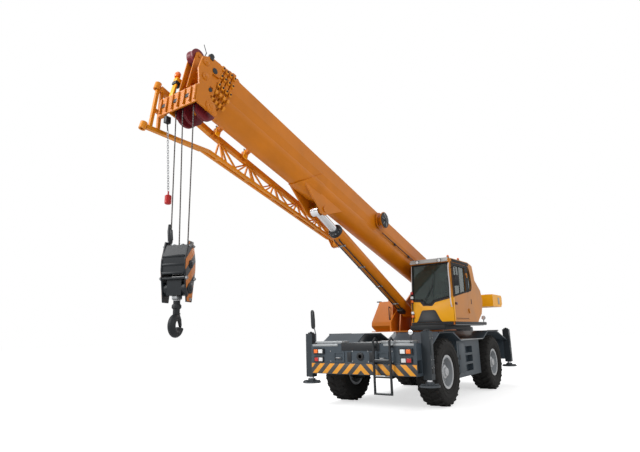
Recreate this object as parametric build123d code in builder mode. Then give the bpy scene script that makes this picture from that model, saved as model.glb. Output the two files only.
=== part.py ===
from build123d import *
import os
from math import atan2, cos, degrees, hypot, radians, sin

# A rough-terrain mobile crane: a two-axle carrier with four outriggers carries a slewing upper
# works with a cab, a four-section telescopic boom, its luffing cylinder, a stowed lattice jib
# and a hook block on three falls of rope.
# Millimetres. x runs forward and y left of the slewing axis, z up from the ground.

# ---- wheels and axles
WHEELBASE = 3600
TRACK = 2380
TYRE_D = 1480
TYRE_W = 530
RIM_D = 640
RIM_W = 430
RIM_FLANGE = 45
KINGPIN_INSET = 220
KNUCKLE_H = 280
KNUCKLE_D = 140
AXLE_D = 220
DIFF_D = 400

# ---- carrier
FRAME_W = 900
FRAME_BOTTOM = 950
DECK_Z = 1400
PLATE = 20
BODY_W = 2648
FENDER_W = 2900
FENDER_Z = 1620
FENDER_T = 30
FRONT_X = 3220
REAR_X = -3770
BOX_D = 480
BOX_BOTTOM = 744
TOW_BORE_D = 80
TOW_BORE_L = 150
TOW_Z = 1130
CABINET_HALF = 860
CABINET_BOTTOM = 520
CABINET_INNER = 680
ENGINE_L = 850
ENGINE_Z = 560
ENGINE_GAP = 150

# ---- outriggers
BEAM_W = 195
BEAM_H = 250
BEAM_WALL = 15
TUBE_CLEAR = 5
TUBE_BOTTOM = 800
BEAM_L = 2480
JACK_W = 180
JACK_TOP = 1640
JACK_ROD_D = 110
FLOAT_D = 420
FLOAT_Z = 520

# ---- upper works
RING_D = 1300
RING_H = 200
CHEEK_GAP = 580
CHEEK_T = 40
PIVOT_X = -1200
PIVOT_Z = 2950
PIVOT_PIN_D = 140
PLATFORM_Z = 1780
CAB_X = 140
CAB_Y0 = 345
CAB_Y1 = 1450
CAB_WALL = 45
CAB_FLOOR = 1850
TANK_Y0 = 340
TANK_Y1 = 985
WEIGHT_HALF = 1380
WEIGHT_TOP = 2690
WEIGHT_REAR = -3450

# ---- boom: u runs along it from its pivot, v upward square to it
BOOM_ELEVATION = 16.05
BOOM_W = 560
BOOM_H = 745
BOOM_TOP = 393
CREASE_DROP = 298
BELLY_DROP = 462
BELLY_INSET = 34
SECTION_WALL = 12
SECTION_GAP = 9
BASE_FRONT = 9130
SECTION_STEP = 85
SECTION_REAR = 700
PAD_L = 160
COLLAR_L = 60
COLLAR_W = 600
COLLAR_TOP = 45
COLLAR_DROP = 5
SADDLE_FRONT = 860
SADDLE_REAR = 200
SADDLE_T = 20
SADDLE_DROP = 315

# ---- luffing cylinder
CYL_FOOT = (600, 2130)
CYL_HEAD = (6040, -520)
BARREL_D = 300
BARREL_L = 3860
ROD_D = 165
LUG_GAP = 320
LUG_T = 35
EYE_D = 230
CYL_PIN_D = 120
ROD_INNER = 820

# ---- cable reel on the boom's left side
REEL = (3990, 195)
REEL_D = 400
REEL_W = 160

# ---- boom head: places run from the front of the last section
SHEAVE_U = 15
SHEAVE_V = -495
SHEAVE_D = 400
SHEAVE_T = 50
GUIDE_U = 315
GUIDE_V = 380
GUIDE_D = 260
GUIDE_T = 140
ROPE_D = 18
GROOVE = 14
AXLE_PIN_D = 90
HEAD_HALF = 300
CHEEK_PLATE = 30
JIB_PINS = ((255, -90), (315, 150))
JIB_PIN_D = 60

# ---- hook block and ropes
BLOCK_TOP = 2970
BLOCK_HOUSING = 2915
BLOCK_BOTTOM = 2110
CROSSHEAD_D = 190
CROSSHEAD_Z = 2300
BLOCK_HALF = 170
BLOCK_SHEAVE_Z = 2640
HOOK_BOTTOM = 1630
HOOK_R = 110
HOOK_BAR = 110
BLOCK_TWIST = 22
# rope falls: offset at the boom head, offset in the hook block
FALLS = ((-215, -135), (-55, 0), (200, 135))

# ---- jib, stowed along the right side of the boom; stations run back from the last section's front
JIB_CHORD = 95
JIB_TUBE = 50
JIB_LACE = 28
JIB_BAY = 780
JIB_BAYS = 5
JIB_FIRST = 230
# station: its place, then (y, v) of the main chord, the outer and the inner tube
JIB_ROOT = (395, (-700, 0), (-700, -800), (-700, -800))
JIB_KINK = (-725, (-545, -215), (-700, -515), (-440, -630))
JIB_TIP = (-4765, (-545, -300), (-700, -410), (-440, -520))
JIB_BRACKETS = (-3800, -1500, -770)

FIT = 0.3
MOVE = 5
CENTRE_X = 2328
ORIGIN = Location((-CENTRE_X, 0, 0))

os.makedirs("parts", exist_ok=True)

AXLE_X = WHEELBASE / 2
AXLE_Z = TYRE_D / 2
KINGPIN_Y = TRACK / 2 - KINGPIN_INSET
FRAME_Y = FRAME_W / 2
BODY_Y = BODY_W / 2
JACK_Y = BODY_Y + MOVE + JACK_W / 2
FENDER_Y = FENDER_W / 2
BOX_FRONT_X0 = FRONT_X - BOX_D
BOX_REAR_X1 = REAR_X + BOX_D
PIVOT = (PIVOT_X, 0, PIVOT_Z)
BOOM = Location(PIVOT, (0, -BOOM_ELEVATION, 0))


def save(piece, name, at=Location()):
    """Label one finished piece, set it in the part's frame and write its STEP file."""
    placed = piece.part.moved(ORIGIN * at)
    placed.label = name
    export_step(placed, f"parts/{name}.step")


def block(x0, x1, y0, y1, z0, z1, mode=Mode.ADD):
    """A rectangular block between two corners."""
    with Locations(((x0 + x1) / 2, (y0 + y1) / 2, (z0 + z1) / 2)):
        Box(x1 - x0, y1 - y0, z1 - z0, mode=mode)


def plate(points, y0, y1, mode=Mode.ADD):
    """A plate of the given side outline, from y0 to y1."""
    with BuildSketch(Plane.XZ.offset(-y1)) as outline:
        with BuildLine():
            Polyline(*points, close=True)
        make_face()
    extrude(outline.sketch, amount=y1 - y0, mode=mode)


def cross_pin(x, z, y0, y1, diameter, mode=Mode.ADD):
    """A round pin or bore along y."""
    with Locations(Location((x, (y0 + y1) / 2, z), (90, 0, 0))):
        Cylinder(diameter / 2, y1 - y0, mode=mode)


def upright(x, y, z0, z1, diameter, mode=Mode.ADD):
    """A round post or bore along z."""
    with Locations((x, y, (z0 + z1) / 2)):
        Cylinder(diameter / 2, z1 - z0, mode=mode)


def frontal(points, x0, x1, mode=Mode.ADD):
    """A plate of the given front outline, from x0 to x1."""
    with BuildSketch(Plane(origin=(x0, 0, 0), x_dir=(0, 1, 0), z_dir=(1, 0, 0))) as outline:
        with BuildLine():
            Polyline(*points, close=True)
        make_face()
    extrude(outline.sketch, amount=x1 - x0, mode=mode)


def pulley(x, z, y, diameter, width, mode=Mode.ADD):
    """A rope sheave across x with a grooved rim."""
    rim = diameter / 2
    half = width / 2
    with BuildSketch(Plane(origin=(x, y, z), x_dir=(0, 1, 0), z_dir=(1, 0, 0))) as profile:
        with BuildLine():
            Polyline((-half, 0), (-half, rim), (-half * 0.7, rim), (0, rim - GROOVE), (half * 0.7, rim),
                     (half, rim), (half, 0), close=True)
        make_face()
    revolve(profile.sketch, axis=Axis((x, y, z), (0, 1, 0)), mode=mode)


def round_bar(a, b, diameter, mode=Mode.ADD):
    """A round bar between two points."""
    run = Vector(*b) - Vector(*a)
    with Locations(Plane(origin=a, z_dir=run).location):
        Cylinder(diameter / 2, run.length, align=(Align.CENTER, Align.CENTER, Align.MIN), mode=mode)


def strut(a, b, width, mode=Mode.ADD):
    """A square bar between two points."""
    run = Vector(*b) - Vector(*a)
    across = Vector(0, 1, 0) if abs(run.Y) < 0.9 * run.length else Vector(0, 0, 1)
    square = run.cross(across)
    with Locations(Plane(origin=a, x_dir=square, z_dir=run).location):
        Box(width, width, run.length, align=(Align.CENTER, Align.CENTER, Align.MIN), mode=mode)


# ================================================================ carrier

with BuildPart() as carrier_frame:
    block(BOX_REAR_X1, BOX_FRONT_X0, -FRAME_Y, FRAME_Y, FRAME_BOTTOM, DECK_Z)
    upright(0, 0, FRAME_BOTTOM + 200, DECK_Z, RING_D)
    for side in (-1, 1):
        for axle_x in (-AXLE_X, AXLE_X):
            y = side * (FRAME_Y - 100)
            block(axle_x - 150, axle_x + 150, y - 90, y + 90, AXLE_Z + AXLE_D / 2 + FIT, FRAME_BOTTOM)
save(carrier_frame, "carrier_frame")

TUBE_W = BEAM_W + 2 * TUBE_CLEAR
TUBE_H = BEAM_H + 2 * TUBE_CLEAR
TUBE_WALL = (BOX_D - 2 * TUBE_W) / 3
# end of the carrier, back face of its box
BOX_ENDS = (("front", BOX_FRONT_X0), ("rear", REAR_X))
# beam: which box, which of its two tubes counted from the back, and the side it slides out to
BEAMS = (
    ("front_left", BOX_FRONT_X0, 0, 1),
    ("front_right", BOX_FRONT_X0, 1, -1),
    ("rear_left", REAR_X, 1, 1),
    ("rear_right", REAR_X, 0, -1),
)


def tube_x(box_x, index):
    """The middle of one beam tube in an outrigger box."""
    return box_x + TUBE_WALL * (index + 1) + TUBE_W * (index + 0.5)


for end, box_x in BOX_ENDS:
    with BuildPart() as outrigger_box:
        block(box_x, box_x + BOX_D, -BODY_Y, BODY_Y, BOX_BOTTOM, DECK_Z)
        for index in (0, 1):
            x = tube_x(box_x, index)
            block(x - TUBE_W / 2, x + TUBE_W / 2, -BODY_Y, BODY_Y, TUBE_BOTTOM, TUBE_BOTTOM + TUBE_H,
                  mode=Mode.SUBTRACT)
        if end == "front":
            with Locations(Location((FRONT_X - TOW_BORE_L / 2, 0, TOW_Z), (0, 90, 0))):
                Cylinder(TOW_BORE_D / 2, TOW_BORE_L, mode=Mode.SUBTRACT)
    save(outrigger_box, f"outrigger_box_{end}")

for name, box_x, index, side in BEAMS:
    x = tube_x(box_x, index)
    beam_z = TUBE_BOTTOM + FIT
    outer_y = side * (JACK_Y - JACK_W / 2)
    inner_y = outer_y - side * BEAM_L
    low, high = min(outer_y, inner_y), max(outer_y, inner_y)
    with BuildPart() as beam:
        block(x - BEAM_W / 2, x + BEAM_W / 2, low, high, beam_z, beam_z + BEAM_H)
        block(x - BEAM_W / 2 + BEAM_WALL, x + BEAM_W / 2 - BEAM_WALL, low - side * BEAM_WALL,
              high - side * BEAM_WALL, beam_z + BEAM_WALL, beam_z + BEAM_H - BEAM_WALL,
              mode=Mode.SUBTRACT)
        block(x - JACK_W / 2, x + JACK_W / 2, side * JACK_Y - JACK_W / 2, side * JACK_Y + JACK_W / 2,
              FLOAT_Z + 140, JACK_TOP)
        upright(x, side * JACK_Y, FLOAT_Z + 140, JACK_TOP - 60, JACK_ROD_D + 2 * FIT,
                mode=Mode.SUBTRACT)
    save(beam, f"outrigger_beam_{name}")
    with BuildPart() as jack:
        upright(x, side * JACK_Y, FLOAT_Z + 50, JACK_TOP - 80, JACK_ROD_D)
        upright(x, side * JACK_Y, FLOAT_Z, FLOAT_Z + 35, FLOAT_D)
        upright(x, side * JACK_Y, FLOAT_Z + 35, FLOAT_Z + 100, JACK_ROD_D * 1.6)
    save(jack, f"jack_{name}")

with BuildPart() as deck:
    block(-CABINET_HALF, CABINET_HALF, FRAME_Y, FENDER_Y, DECK_Z + FIT, DECK_Z + PLATE)
    block(-CABINET_HALF, CABINET_HALF, -FENDER_Y, -FRAME_Y, DECK_Z + FIT, DECK_Z + PLATE)
    upright(0, 0, DECK_Z, DECK_Z + PLATE, RING_D + 2 * MOVE, mode=Mode.SUBTRACT)
save(deck, "side_decks")

FENDER_INNER = CABINET_HALF + 20
FENDER_OUTER = BOX_FRONT_X0 - 10
FENDER_FLAT = 420
with BuildPart() as fenders:
    for end in (-1, 1):
        far = FENDER_OUTER if end > 0 else -BOX_REAR_X1 - 10
        outline = [
            (end * FENDER_INNER, DECK_Z + PLATE),
            (end * (AXLE_X - FENDER_FLAT), FENDER_Z),
            (end * (AXLE_X + FENDER_FLAT), FENDER_Z),
            (end * far, DECK_Z - 60),
            (end * far, DECK_Z - 60 - FENDER_T),
            (end * (AXLE_X + FENDER_FLAT - 10), FENDER_Z - FENDER_T),
            (end * (AXLE_X - FENDER_FLAT + 10), FENDER_Z - FENDER_T),
            (end * FENDER_INNER, DECK_Z + PLATE - FENDER_T),
        ]
        plate(outline, FRAME_Y + FIT, FENDER_Y)
        plate(outline, -FENDER_Y, -FRAME_Y - FIT)
save(fenders, "fenders")

with BuildPart() as cabinet_left:
    block(-CABINET_HALF, CABINET_HALF, CABINET_INNER, BODY_Y, CABINET_BOTTOM, DECK_Z)
    block(-CABINET_HALF, CABINET_HALF, FRAME_Y + FIT, CABINET_INNER, 1160, 1220)
    upright(0, 0, 1000, DECK_Z, RING_D + 2 * FIT, mode=Mode.SUBTRACT)
    for step_z in (640, 860, 1080):
        block(-260, 260, BODY_Y - 130, BODY_Y, step_z, step_z + 160, mode=Mode.SUBTRACT)
save(cabinet_left, "cabinet_left")

with BuildPart() as cabinet_right:
    block(-CABINET_HALF, CABINET_HALF, -BODY_Y, -CABINET_INNER, CABINET_BOTTOM, DECK_Z)
    edges = cabinet_right.edges().filter_by(Axis.X).group_by(Axis.Y)[0]
    fillet(edges, radius=90)
    block(-CABINET_HALF, CABINET_HALF, -CABINET_INNER, -FRAME_Y - FIT, 1160, 1220)
    upright(0, 0, 1000, DECK_Z, RING_D + 2 * FIT, mode=Mode.SUBTRACT)
save(cabinet_right, "cabinet_right")

with BuildPart() as engine_hood:
    plate([(BOX_REAR_X1 + 20, DECK_Z + FIT), (-1350, DECK_Z + FIT), (-1350, 1560), (-1420, 1610),
           (-2620, 1610), (-2700, 1740), (BOX_REAR_X1 + 60, 1740), (BOX_REAR_X1 + 20, 1700)],
          -FRAME_Y + 20, FRAME_Y - 20)
save(engine_hood, "engine_hood")

with BuildPart() as front_deck:
    block(760, BOX_FRONT_X0, -FRAME_Y, FRAME_Y, DECK_Z + FIT, DECK_Z + PLATE)
save(front_deck, "front_deck")

with BuildPart() as engine_block:
    engine_x1 = -AXLE_X - DIFF_D / 2 - ENGINE_GAP
    block(engine_x1 - ENGINE_L, engine_x1, -FRAME_Y + 100, FRAME_Y - 100, ENGINE_Z, FRAME_BOTTOM - FIT)
save(engine_block, "engine_block")

for end, axle_x in (("front", AXLE_X), ("rear", -AXLE_X)):
    with BuildPart() as axle:
        cross_pin(axle_x, AXLE_Z, -KINGPIN_Y + 160, KINGPIN_Y - 160, AXLE_D)
        with Locations((axle_x, 0, AXLE_Z)):
            Sphere(DIFF_D / 2)
        for side in (-1, 1):
            y = side * (KINGPIN_Y - 130)
            block(axle_x - 95, axle_x + 95, y - 50, y + 50, AXLE_Z - 200, AXLE_Z + 200)
            for z in (-1, 1):
                low = AXLE_Z + z * 175
                block(axle_x - 95, axle_x + 95, min(y, side * (KINGPIN_Y + 70)),
                      max(y, side * (KINGPIN_Y + 70)), low - 25, low + 25)
            upright(axle_x, side * KINGPIN_Y, AXLE_Z - 215, AXLE_Z + 215, 70 + 2 * FIT,
                    mode=Mode.SUBTRACT)
    save(axle, f"axle_{end}")

# wheel: name, axle place, side
WHEELS = (
    ("front_left", AXLE_X, 1),
    ("front_right", AXLE_X, -1),
    ("rear_left", -AXLE_X, 1),
    ("rear_right", -AXLE_X, -1),
)
HUB_Y = TRACK / 2 - 75
for name, wheel_x, side in WHEELS:
    with BuildPart() as knuckle:
        upright(wheel_x, side * KINGPIN_Y, AXLE_Z - KNUCKLE_H / 2, AXLE_Z + KNUCKLE_H / 2, KNUCKLE_D)
        upright(wheel_x, side * KINGPIN_Y, AXLE_Z - 200, AXLE_Z + 200, 70)
        ends = sorted((side * (KINGPIN_Y + KNUCKLE_D / 4), side * HUB_Y))
        cross_pin(wheel_x, AXLE_Z, ends[0], ends[1], 200)
    save(knuckle, f"knuckle_{name}")

    rim_mid = side * TRACK / 2
    with BuildPart() as rim:
        with BuildSketch(Plane.YZ.offset(wheel_x)):
            with BuildLine():
                r = RIM_D / 2
                half = RIM_W / 2
                Polyline((rim_mid - half, AXLE_Z + r - 15), (rim_mid - half, AXLE_Z + r + RIM_FLANGE),
                         (rim_mid - half + 15, AXLE_Z + r + RIM_FLANGE),
                         (rim_mid - half + 20, AXLE_Z + r), (rim_mid + half - 20, AXLE_Z + r),
                         (rim_mid + half - 15, AXLE_Z + r + RIM_FLANGE),
                         (rim_mid + half, AXLE_Z + r + RIM_FLANGE), (rim_mid + half, AXLE_Z + r - 15),
                         close=True)
            make_face()
        revolve(axis=Axis((wheel_x, 0, AXLE_Z), (0, 1, 0)))
        disc = sorted((side * (HUB_Y + 60), side * (HUB_Y + 85)))
        cross_pin(wheel_x, AXLE_Z, disc[0], disc[1], RIM_D - 10)
        hub = sorted((side * (HUB_Y + FIT), side * (HUB_Y + 230)))
        cross_pin(wheel_x, AXLE_Z, hub[0], hub[1], 300)
    save(rim, f"rim_{name}")

# the tyre is made once about the origin, with one facet for each lug, and set at each wheel
LUG_H = 55
LUG_COUNT = 16
LUG_ANGLE = 25
LUG_W = 58
LUG_L = TYRE_W * 0.52
LUG_DEPTH = 110
LUG_REACH = LUG_L / 2 * sin(radians(LUG_ANGLE)) + LUG_W / 2 * cos(radians(LUG_ANGLE))
LUG_TOP = ((TYRE_D / 2) ** 2 - LUG_REACH ** 2) ** 0.5
TREAD_R = LUG_TOP - LUG_H
BEAD_R = RIM_D / 2 + 1
BEAD_Y = RIM_W / 2 - 22
# half profile of the carcass: side offset and radius, from the bead to the shoulder
CARCASS = ((BEAD_Y, BEAD_R + RIM_FLANGE), (TYRE_W / 2, TYRE_D * 0.35), (TYRE_W * 0.44, TREAD_R))
FACETS = 2 * LUG_COUNT


def ring_of_facets(stations, mode=Mode.ADD):
    """A flat-sided ring about y through stations of side offset and inscribed radius."""
    sections = []
    for y, radius in stations:
        with BuildSketch(Plane(origin=(0, y, 0), x_dir=(1, 0, 0), z_dir=(0, 1, 0))) as section:
            RegularPolygon(radius=radius, side_count=FACETS, major_radius=False)
        sections.append(section.sketch)
    loft(sections, ruled=True, mode=mode)


with BuildPart() as tyre:
    ring_of_facets([(-y, radius) for y, radius in CARCASS] + [(y, radius) for y, radius in CARCASS[::-1]])
    for side in (-1, 1):
        for index in range(LUG_COUNT):
            around = Location((0, 0, 0), (0, 360 / LUG_COUNT * (index + side / 4), 0))
            across = Location((0, side * TYRE_W * 0.22, LUG_TOP - LUG_DEPTH / 2), (0, 0, side * LUG_ANGLE))
            with Locations(around * across):
                Box(LUG_W, LUG_L, LUG_DEPTH)
    ring_of_facets([(-BEAD_Y, BEAD_R), (BEAD_Y, BEAD_R)], mode=Mode.SUBTRACT)
for name, wheel_x, side in WHEELS:
    facing = Location((wheel_x, side * TRACK / 2, AXLE_Z), (0, 0, 0 if side > 0 else 180))
    save(tyre, f"tyre_{name}", facing)

LADDER_Y = (390, 780)
LADDER_BOTTOM = 370
RUNG_STEP = 335
RAIL_X = FRONT_X + 110
with BuildPart() as ladder:
    for y in LADDER_Y:
        strut((RAIL_X, y, LADDER_BOTTOM), (RAIL_X, y, DECK_Z + 60), 40)
        for z in (1000, DECK_Z - 60):
            strut((FRONT_X + FIT, y, z), (RAIL_X, y, z), 40)
        round_bar((RAIL_X, y, DECK_Z + 50), (RAIL_X - 90, y, DECK_Z + 120), 36)
        round_bar((RAIL_X - 90, y, DECK_Z + 120), (RAIL_X - 180, y, DECK_Z + 50), 36)
        round_bar((RAIL_X - 180, y, DECK_Z + 60), (RAIL_X - 180, y, DECK_Z + FIT), 36)
    for rung in range(3):
        z = LADDER_BOTTOM + 15 + rung * RUNG_STEP
        strut((RAIL_X, LADDER_Y[0], z), (RAIL_X, LADDER_Y[1], z), 32)
save(ladder, "ladder_front")

# end lamp clusters: face of the carrier, outward direction
with BuildPart() as lamps:
    for face_x, out in ((FRONT_X, 1), (REAR_X, -1)):
        for y in (-1100, 1100):
            x0, x1 = sorted((face_x + out * FIT, face_x + out * 45))
            block(x0, x1, y - 150, y + 150, 1180, 1300)
save(lamps, "lamp_clusters")

with BuildPart() as mirrors:
    strut((FRONT_X - 60, -1240, DECK_Z + FIT), (FRONT_X - 60, -1240, 2000), 30)
    block(FRONT_X - 80, FRONT_X - 40, -1370, -1230, 1740, 2200)
save(mirrors, "mirror_front")

# ================================================================ upper works

with BuildPart() as slew_ring:
    upright(0, 0, DECK_Z + FIT, DECK_Z + RING_H, RING_D)
    upright(0, 0, DECK_Z, DECK_Z + RING_H, RING_D - 400, mode=Mode.SUBTRACT)
save(slew_ring, "slew_ring")

TABLE_Z = DECK_Z + RING_H + FIT
CHEEK_Y = CHEEK_GAP / 2
CHEEK = [(-2900, 2330), (-2500, 1860), (-1950, TABLE_Z + 60), (1100, TABLE_Z + 60), (1100, 1900),
         (650, 2250), (300, 2330), (-850, 3060), (-1030, 3150), (-1370, 3150), (-1560, 3020),
         (-1900, 2650), (-2900, 2650)]
with BuildPart() as turntable:
    upright(0, 0, TABLE_Z, TABLE_Z + 60, RING_D)
    block(-1950, 1150, -CHEEK_Y - 60, CHEEK_Y + 60, TABLE_Z + 40, TABLE_Z + 60)
    for side in (-1, 1):
        y0, y1 = sorted((side * CHEEK_Y, side * (CHEEK_Y + CHEEK_T)))
        plate(CHEEK, y0, y1)
        y0, y1 = sorted((side * LUG_GAP / 2, side * (LUG_GAP / 2 + LUG_T)))
        foot_x, foot_z = CYL_FOOT
        plate([(foot_x - 260, TABLE_Z + 50), (foot_x + 260, TABLE_Z + 50), (foot_x + 120, foot_z + 60),
               (foot_x + 60, foot_z + 130), (foot_x - 60, foot_z + 130), (foot_x - 120, foot_z + 60)],
              y0, y1)
    block(-1350, 1140, CHEEK_Y + 10, CAB_Y1 - 20, PLATFORM_Z, CAB_FLOOR - FIT)
    block(-700, 1180, CHEEK_Y + 10, CAB_Y1 - 260, PLATFORM_Z - 110, PLATFORM_Z)
    block(-900, 900, -TANK_Y1, -CHEEK_Y - 10, TABLE_Z + 40, TABLE_Z + 60)
    cross_pin(PIVOT_X, PIVOT_Z, -CHEEK_Y - 60, CHEEK_Y + 60, PIVOT_PIN_D)
save(turntable, "turntable")

TANK_TOP = 2440
TANK_FRONT = 900
with BuildPart() as tank:
    plate([(-900, TABLE_Z + 60 + FIT), (TANK_FRONT - 120, TABLE_Z + 60 + FIT), (TANK_FRONT, 1800),
           (TANK_FRONT, 1900), (TANK_FRONT - 60, TANK_TOP), (-900, TANK_TOP)], -TANK_Y1, -TANK_Y0)
    frontal([(-TANK_Y0, TABLE_Z + 60), (-TANK_Y1 + 60, TABLE_Z + 60), (-TANK_Y1, 1760),
             (-TANK_Y1 + 10, 1890), (-TANK_Y1 + 250, TANK_TOP), (-TANK_Y0, TANK_TOP)], -900, TANK_FRONT,
            mode=Mode.INTERSECT)
    edges = tank.edges().filter_by(Axis.X).group_by(Axis.Z)[-1]
    fillet(edges, radius=40)
    upright(600, -TANK_Y0 - 170, TANK_TOP - 5, TANK_TOP + 70, 150)
save(tank, "hydraulic_tank")

with BuildPart() as counterweight:
    plate([(-2450, WEIGHT_TOP - 360), (-2450, WEIGHT_TOP), (WEIGHT_REAR + 60, WEIGHT_TOP),
           (WEIGHT_REAR, WEIGHT_TOP - 60), (WEIGHT_REAR, WEIGHT_TOP - 260),
           (WEIGHT_REAR + 120, WEIGHT_TOP - 360)], -WEIGHT_HALF, WEIGHT_HALF)
    notch_y = CHEEK_Y + CHEEK_T + FIT
    block(-2900 - FIT, -2440, -notch_y, notch_y, WEIGHT_TOP - 500, WEIGHT_TOP + 10, mode=Mode.SUBTRACT)
save(counterweight, "counterweight")

# winch drum: x, z, drum and flange diameters
WINCHES = ((-1820, 2230, 380, 520), (-2280, 2330, 340, 460))
with BuildPart() as winches:
    for x, z, drum, flange in WINCHES:
        cross_pin(x, z, -CHEEK_Y + FIT, CHEEK_Y - FIT, drum)
        for y in (-CHEEK_Y + 30, CHEEK_Y - 30):
            cross_pin(x, z, y - 15, y + 15, flange)
save(winches, "winches")

# ---- cab: a hollow shell in its own frame; its outline runs from the front lower corner to the back
CAB = Location((CAB_X, 0, 0))
CAB_FRONT = 1040
CAB_ROOF = 3390
CAB_LEAN_Z = 2300
CAB_LEAN = 65
CAB_CORNER = 70
CAB_SIDE = [(CAB_FRONT - 10, CAB_FLOOR), (CAB_FRONT, 2300), (CAB_FRONT, 3330), (CAB_FRONT - 70, CAB_ROOF),
            (-250, CAB_ROOF + 15), (-600, 3340), (-740, 2960), (-1170, 2700), (-1290, 2420),
            (-1130, 2080), (-820, CAB_FLOOR + 50), (-780, CAB_FLOOR)]
DOOR = [(-60, 1900), (930, 1900), (950, 2300), (950, 3300), (-60, 3300)]
DOOR_WINDOW = [(30, 2612), (900, 2470), (900, 3240), (30, 3240)]
QUARTER_WINDOW = [(-160, 2645), (-160, 3280), (-270, 3250), (-360, 3080), (-410, 2850), (-400, 2760),
                  (-330, 2672)]
INNER_WINDOW = [(-420, 2450), (870, 2450), (870, 3250), (-420, 3250)]
REAR_WINDOW = [(CAB_Y0 + 160, 3010), (CAB_Y1 - 110, 3010), (CAB_Y1 - 110, 3270), (CAB_Y0 + 160, 3270)]
WINDSCREEN = [(CAB_Y0 + 60, 2420), (640, 2400), (720, 2300), (870, 2290), (950, 2370),
              (CAB_Y1 - 70, 2460), (CAB_Y1 - 70, 3270), (CAB_Y0 + 105, 3270)]
GLASS_T = 6
GLASS_SET = 20

HINGE_D = 29
HINGE_H = 60
HINGE_Z = (2060, 2980)
HINGE_X = DOOR[0][0] - MOVE / 2
HINGE_Y = CAB_Y1 + HINGE_D / 2 + FIT


# the inner wall leans outward above the sill, away from the boom
LEAN_ANGLE = degrees(atan2(CAB_LEAN, CAB_ROOF - CAB_LEAN_Z))
INNER_WALL = Location((0, CAB_Y0, CAB_LEAN_Z), (-LEAN_ANGLE, 0, 0)) * Location((0, 0, -CAB_LEAN_Z))


def cab_solid(inset=0):
    """The cab's outer form, or the space inside walls of the given thickness."""
    with BuildPart(mode=Mode.PRIVATE) as form:
        with BuildSketch(Plane.XZ.offset(-CAB_Y1 + inset)) as outline:
            with BuildLine():
                Polyline(*CAB_SIDE, close=True)
            make_face()
            if inset:
                offset(amount=-inset, mode=Mode.REPLACE, kind=Kind.INTERSECTION)
        extrude(outline.sketch, amount=CAB_Y1 - CAB_Y0 - 2 * inset)
        y = CAB_Y0 + inset
        frontal([(y - 1, CAB_LEAN_Z), (y, CAB_LEAN_Z), (y + CAB_LEAN * 1.1, CAB_LEAN_Z
                 + (CAB_ROOF - CAB_LEAN_Z) * 1.1), (y - 1, CAB_LEAN_Z + (CAB_ROOF - CAB_LEAN_Z) * 1.1)],
                -2000, 2000, mode=Mode.SUBTRACT)
    return form.part


def pane(outline, inset=0.0, thickness=GLASS_T):
    """A window's pane or opening in the plane y = 0, towards +y, from its side outline."""
    with BuildPart(mode=Mode.PRIVATE) as sheet:
        with BuildSketch(Plane.XZ) as edge:
            with BuildLine():
                Polyline(*outline, close=True)
            make_face()
            if inset:
                offset(amount=-inset, mode=Mode.REPLACE, kind=Kind.INTERSECTION)
        extrude(edge.sketch, amount=-thickness)
    return sheet.part


def front_pane(outline, x0, x1, inset=0.0):
    """A pane or opening square to the carrier's length, from its front outline."""
    with BuildPart(mode=Mode.PRIVATE) as sheet:
        with BuildSketch(Plane(origin=(x0, 0, 0), x_dir=(0, 1, 0), z_dir=(1, 0, 0))) as edge:
            with BuildLine():
                Polyline(*outline, close=True)
            make_face()
            if inset:
                offset(amount=-inset, mode=Mode.REPLACE, kind=Kind.INTERSECTION)
        extrude(edge.sketch, amount=x1 - x0)
    return sheet.part


with BuildPart() as cab_shell:
    add(cab_solid())
    corners = cab_shell.edges().filter_by_position(Axis.X, CAB_FRONT - 11, CAB_FRONT + 1)
    fillet(corners.filter_by_position(Axis.Z, 2400, 2900), radius=CAB_CORNER)
    add(cab_solid(CAB_WALL), mode=Mode.SUBTRACT)
    with BuildSketch(Plane.XZ.offset(-CAB_Y1 - 1)) as doorway:
        with BuildLine():
            Polyline(*DOOR, close=True)
        make_face()
        offset(amount=MOVE, mode=Mode.REPLACE, kind=Kind.INTERSECTION)
    extrude(doorway.sketch, amount=CAB_WALL + 2, mode=Mode.SUBTRACT)
    plate(QUARTER_WINDOW, CAB_Y1 - CAB_WALL - 1, CAB_Y1 + 1, mode=Mode.SUBTRACT)
    add(pane(INNER_WINDOW, thickness=CAB_WALL + 20).moved(INNER_WALL * Location((0, -10, 0))),
        mode=Mode.SUBTRACT)
    add(front_pane(WINDSCREEN, CAB_FRONT - CAB_WALL - 20, CAB_FRONT + 20), mode=Mode.SUBTRACT)
    add(front_pane(REAR_WINDOW, -1000, -560), mode=Mode.SUBTRACT)
    frontal([(560, CAB_FLOOR + 10), (650, 2080), (950, 2080), (1050, CAB_FLOOR + 10)], CAB_FRONT - 20,
            CAB_FRONT + 20, mode=Mode.SUBTRACT)
    plate([(CAB_FRONT - 60, 3330), (CAB_FRONT + 70, 3300), (CAB_FRONT + 80, 3335), (CAB_FRONT + 40, 3400),
           (CAB_FRONT - 80, CAB_ROOF)], CAB_Y0 + CAB_LEAN, CAB_Y1 - 40)
    for z in HINGE_Z:
        upright(HINGE_X, HINGE_Y, z, z + HINGE_H, HINGE_D)
        block(HINGE_X - 40, HINGE_X, CAB_Y1 - 1, HINGE_Y, z, z + HINGE_H)
save(cab_shell, "cab_shell", CAB)

with BuildPart() as cab_door:
    plate(DOOR, CAB_Y1 - CAB_WALL, CAB_Y1)
    plate(DOOR_WINDOW, CAB_Y1 - CAB_WALL, CAB_Y1, mode=Mode.SUBTRACT)
    for z in HINGE_Z:
        upright(HINGE_X, HINGE_Y, z + HINGE_H + FIT, z + 2 * HINGE_H, HINGE_D)
        block(HINGE_X, HINGE_X + 50, CAB_Y1 - 1, HINGE_Y, z + HINGE_H + FIT, z + 2 * HINGE_H)
save(cab_door, "cab_door", CAB)

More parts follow.
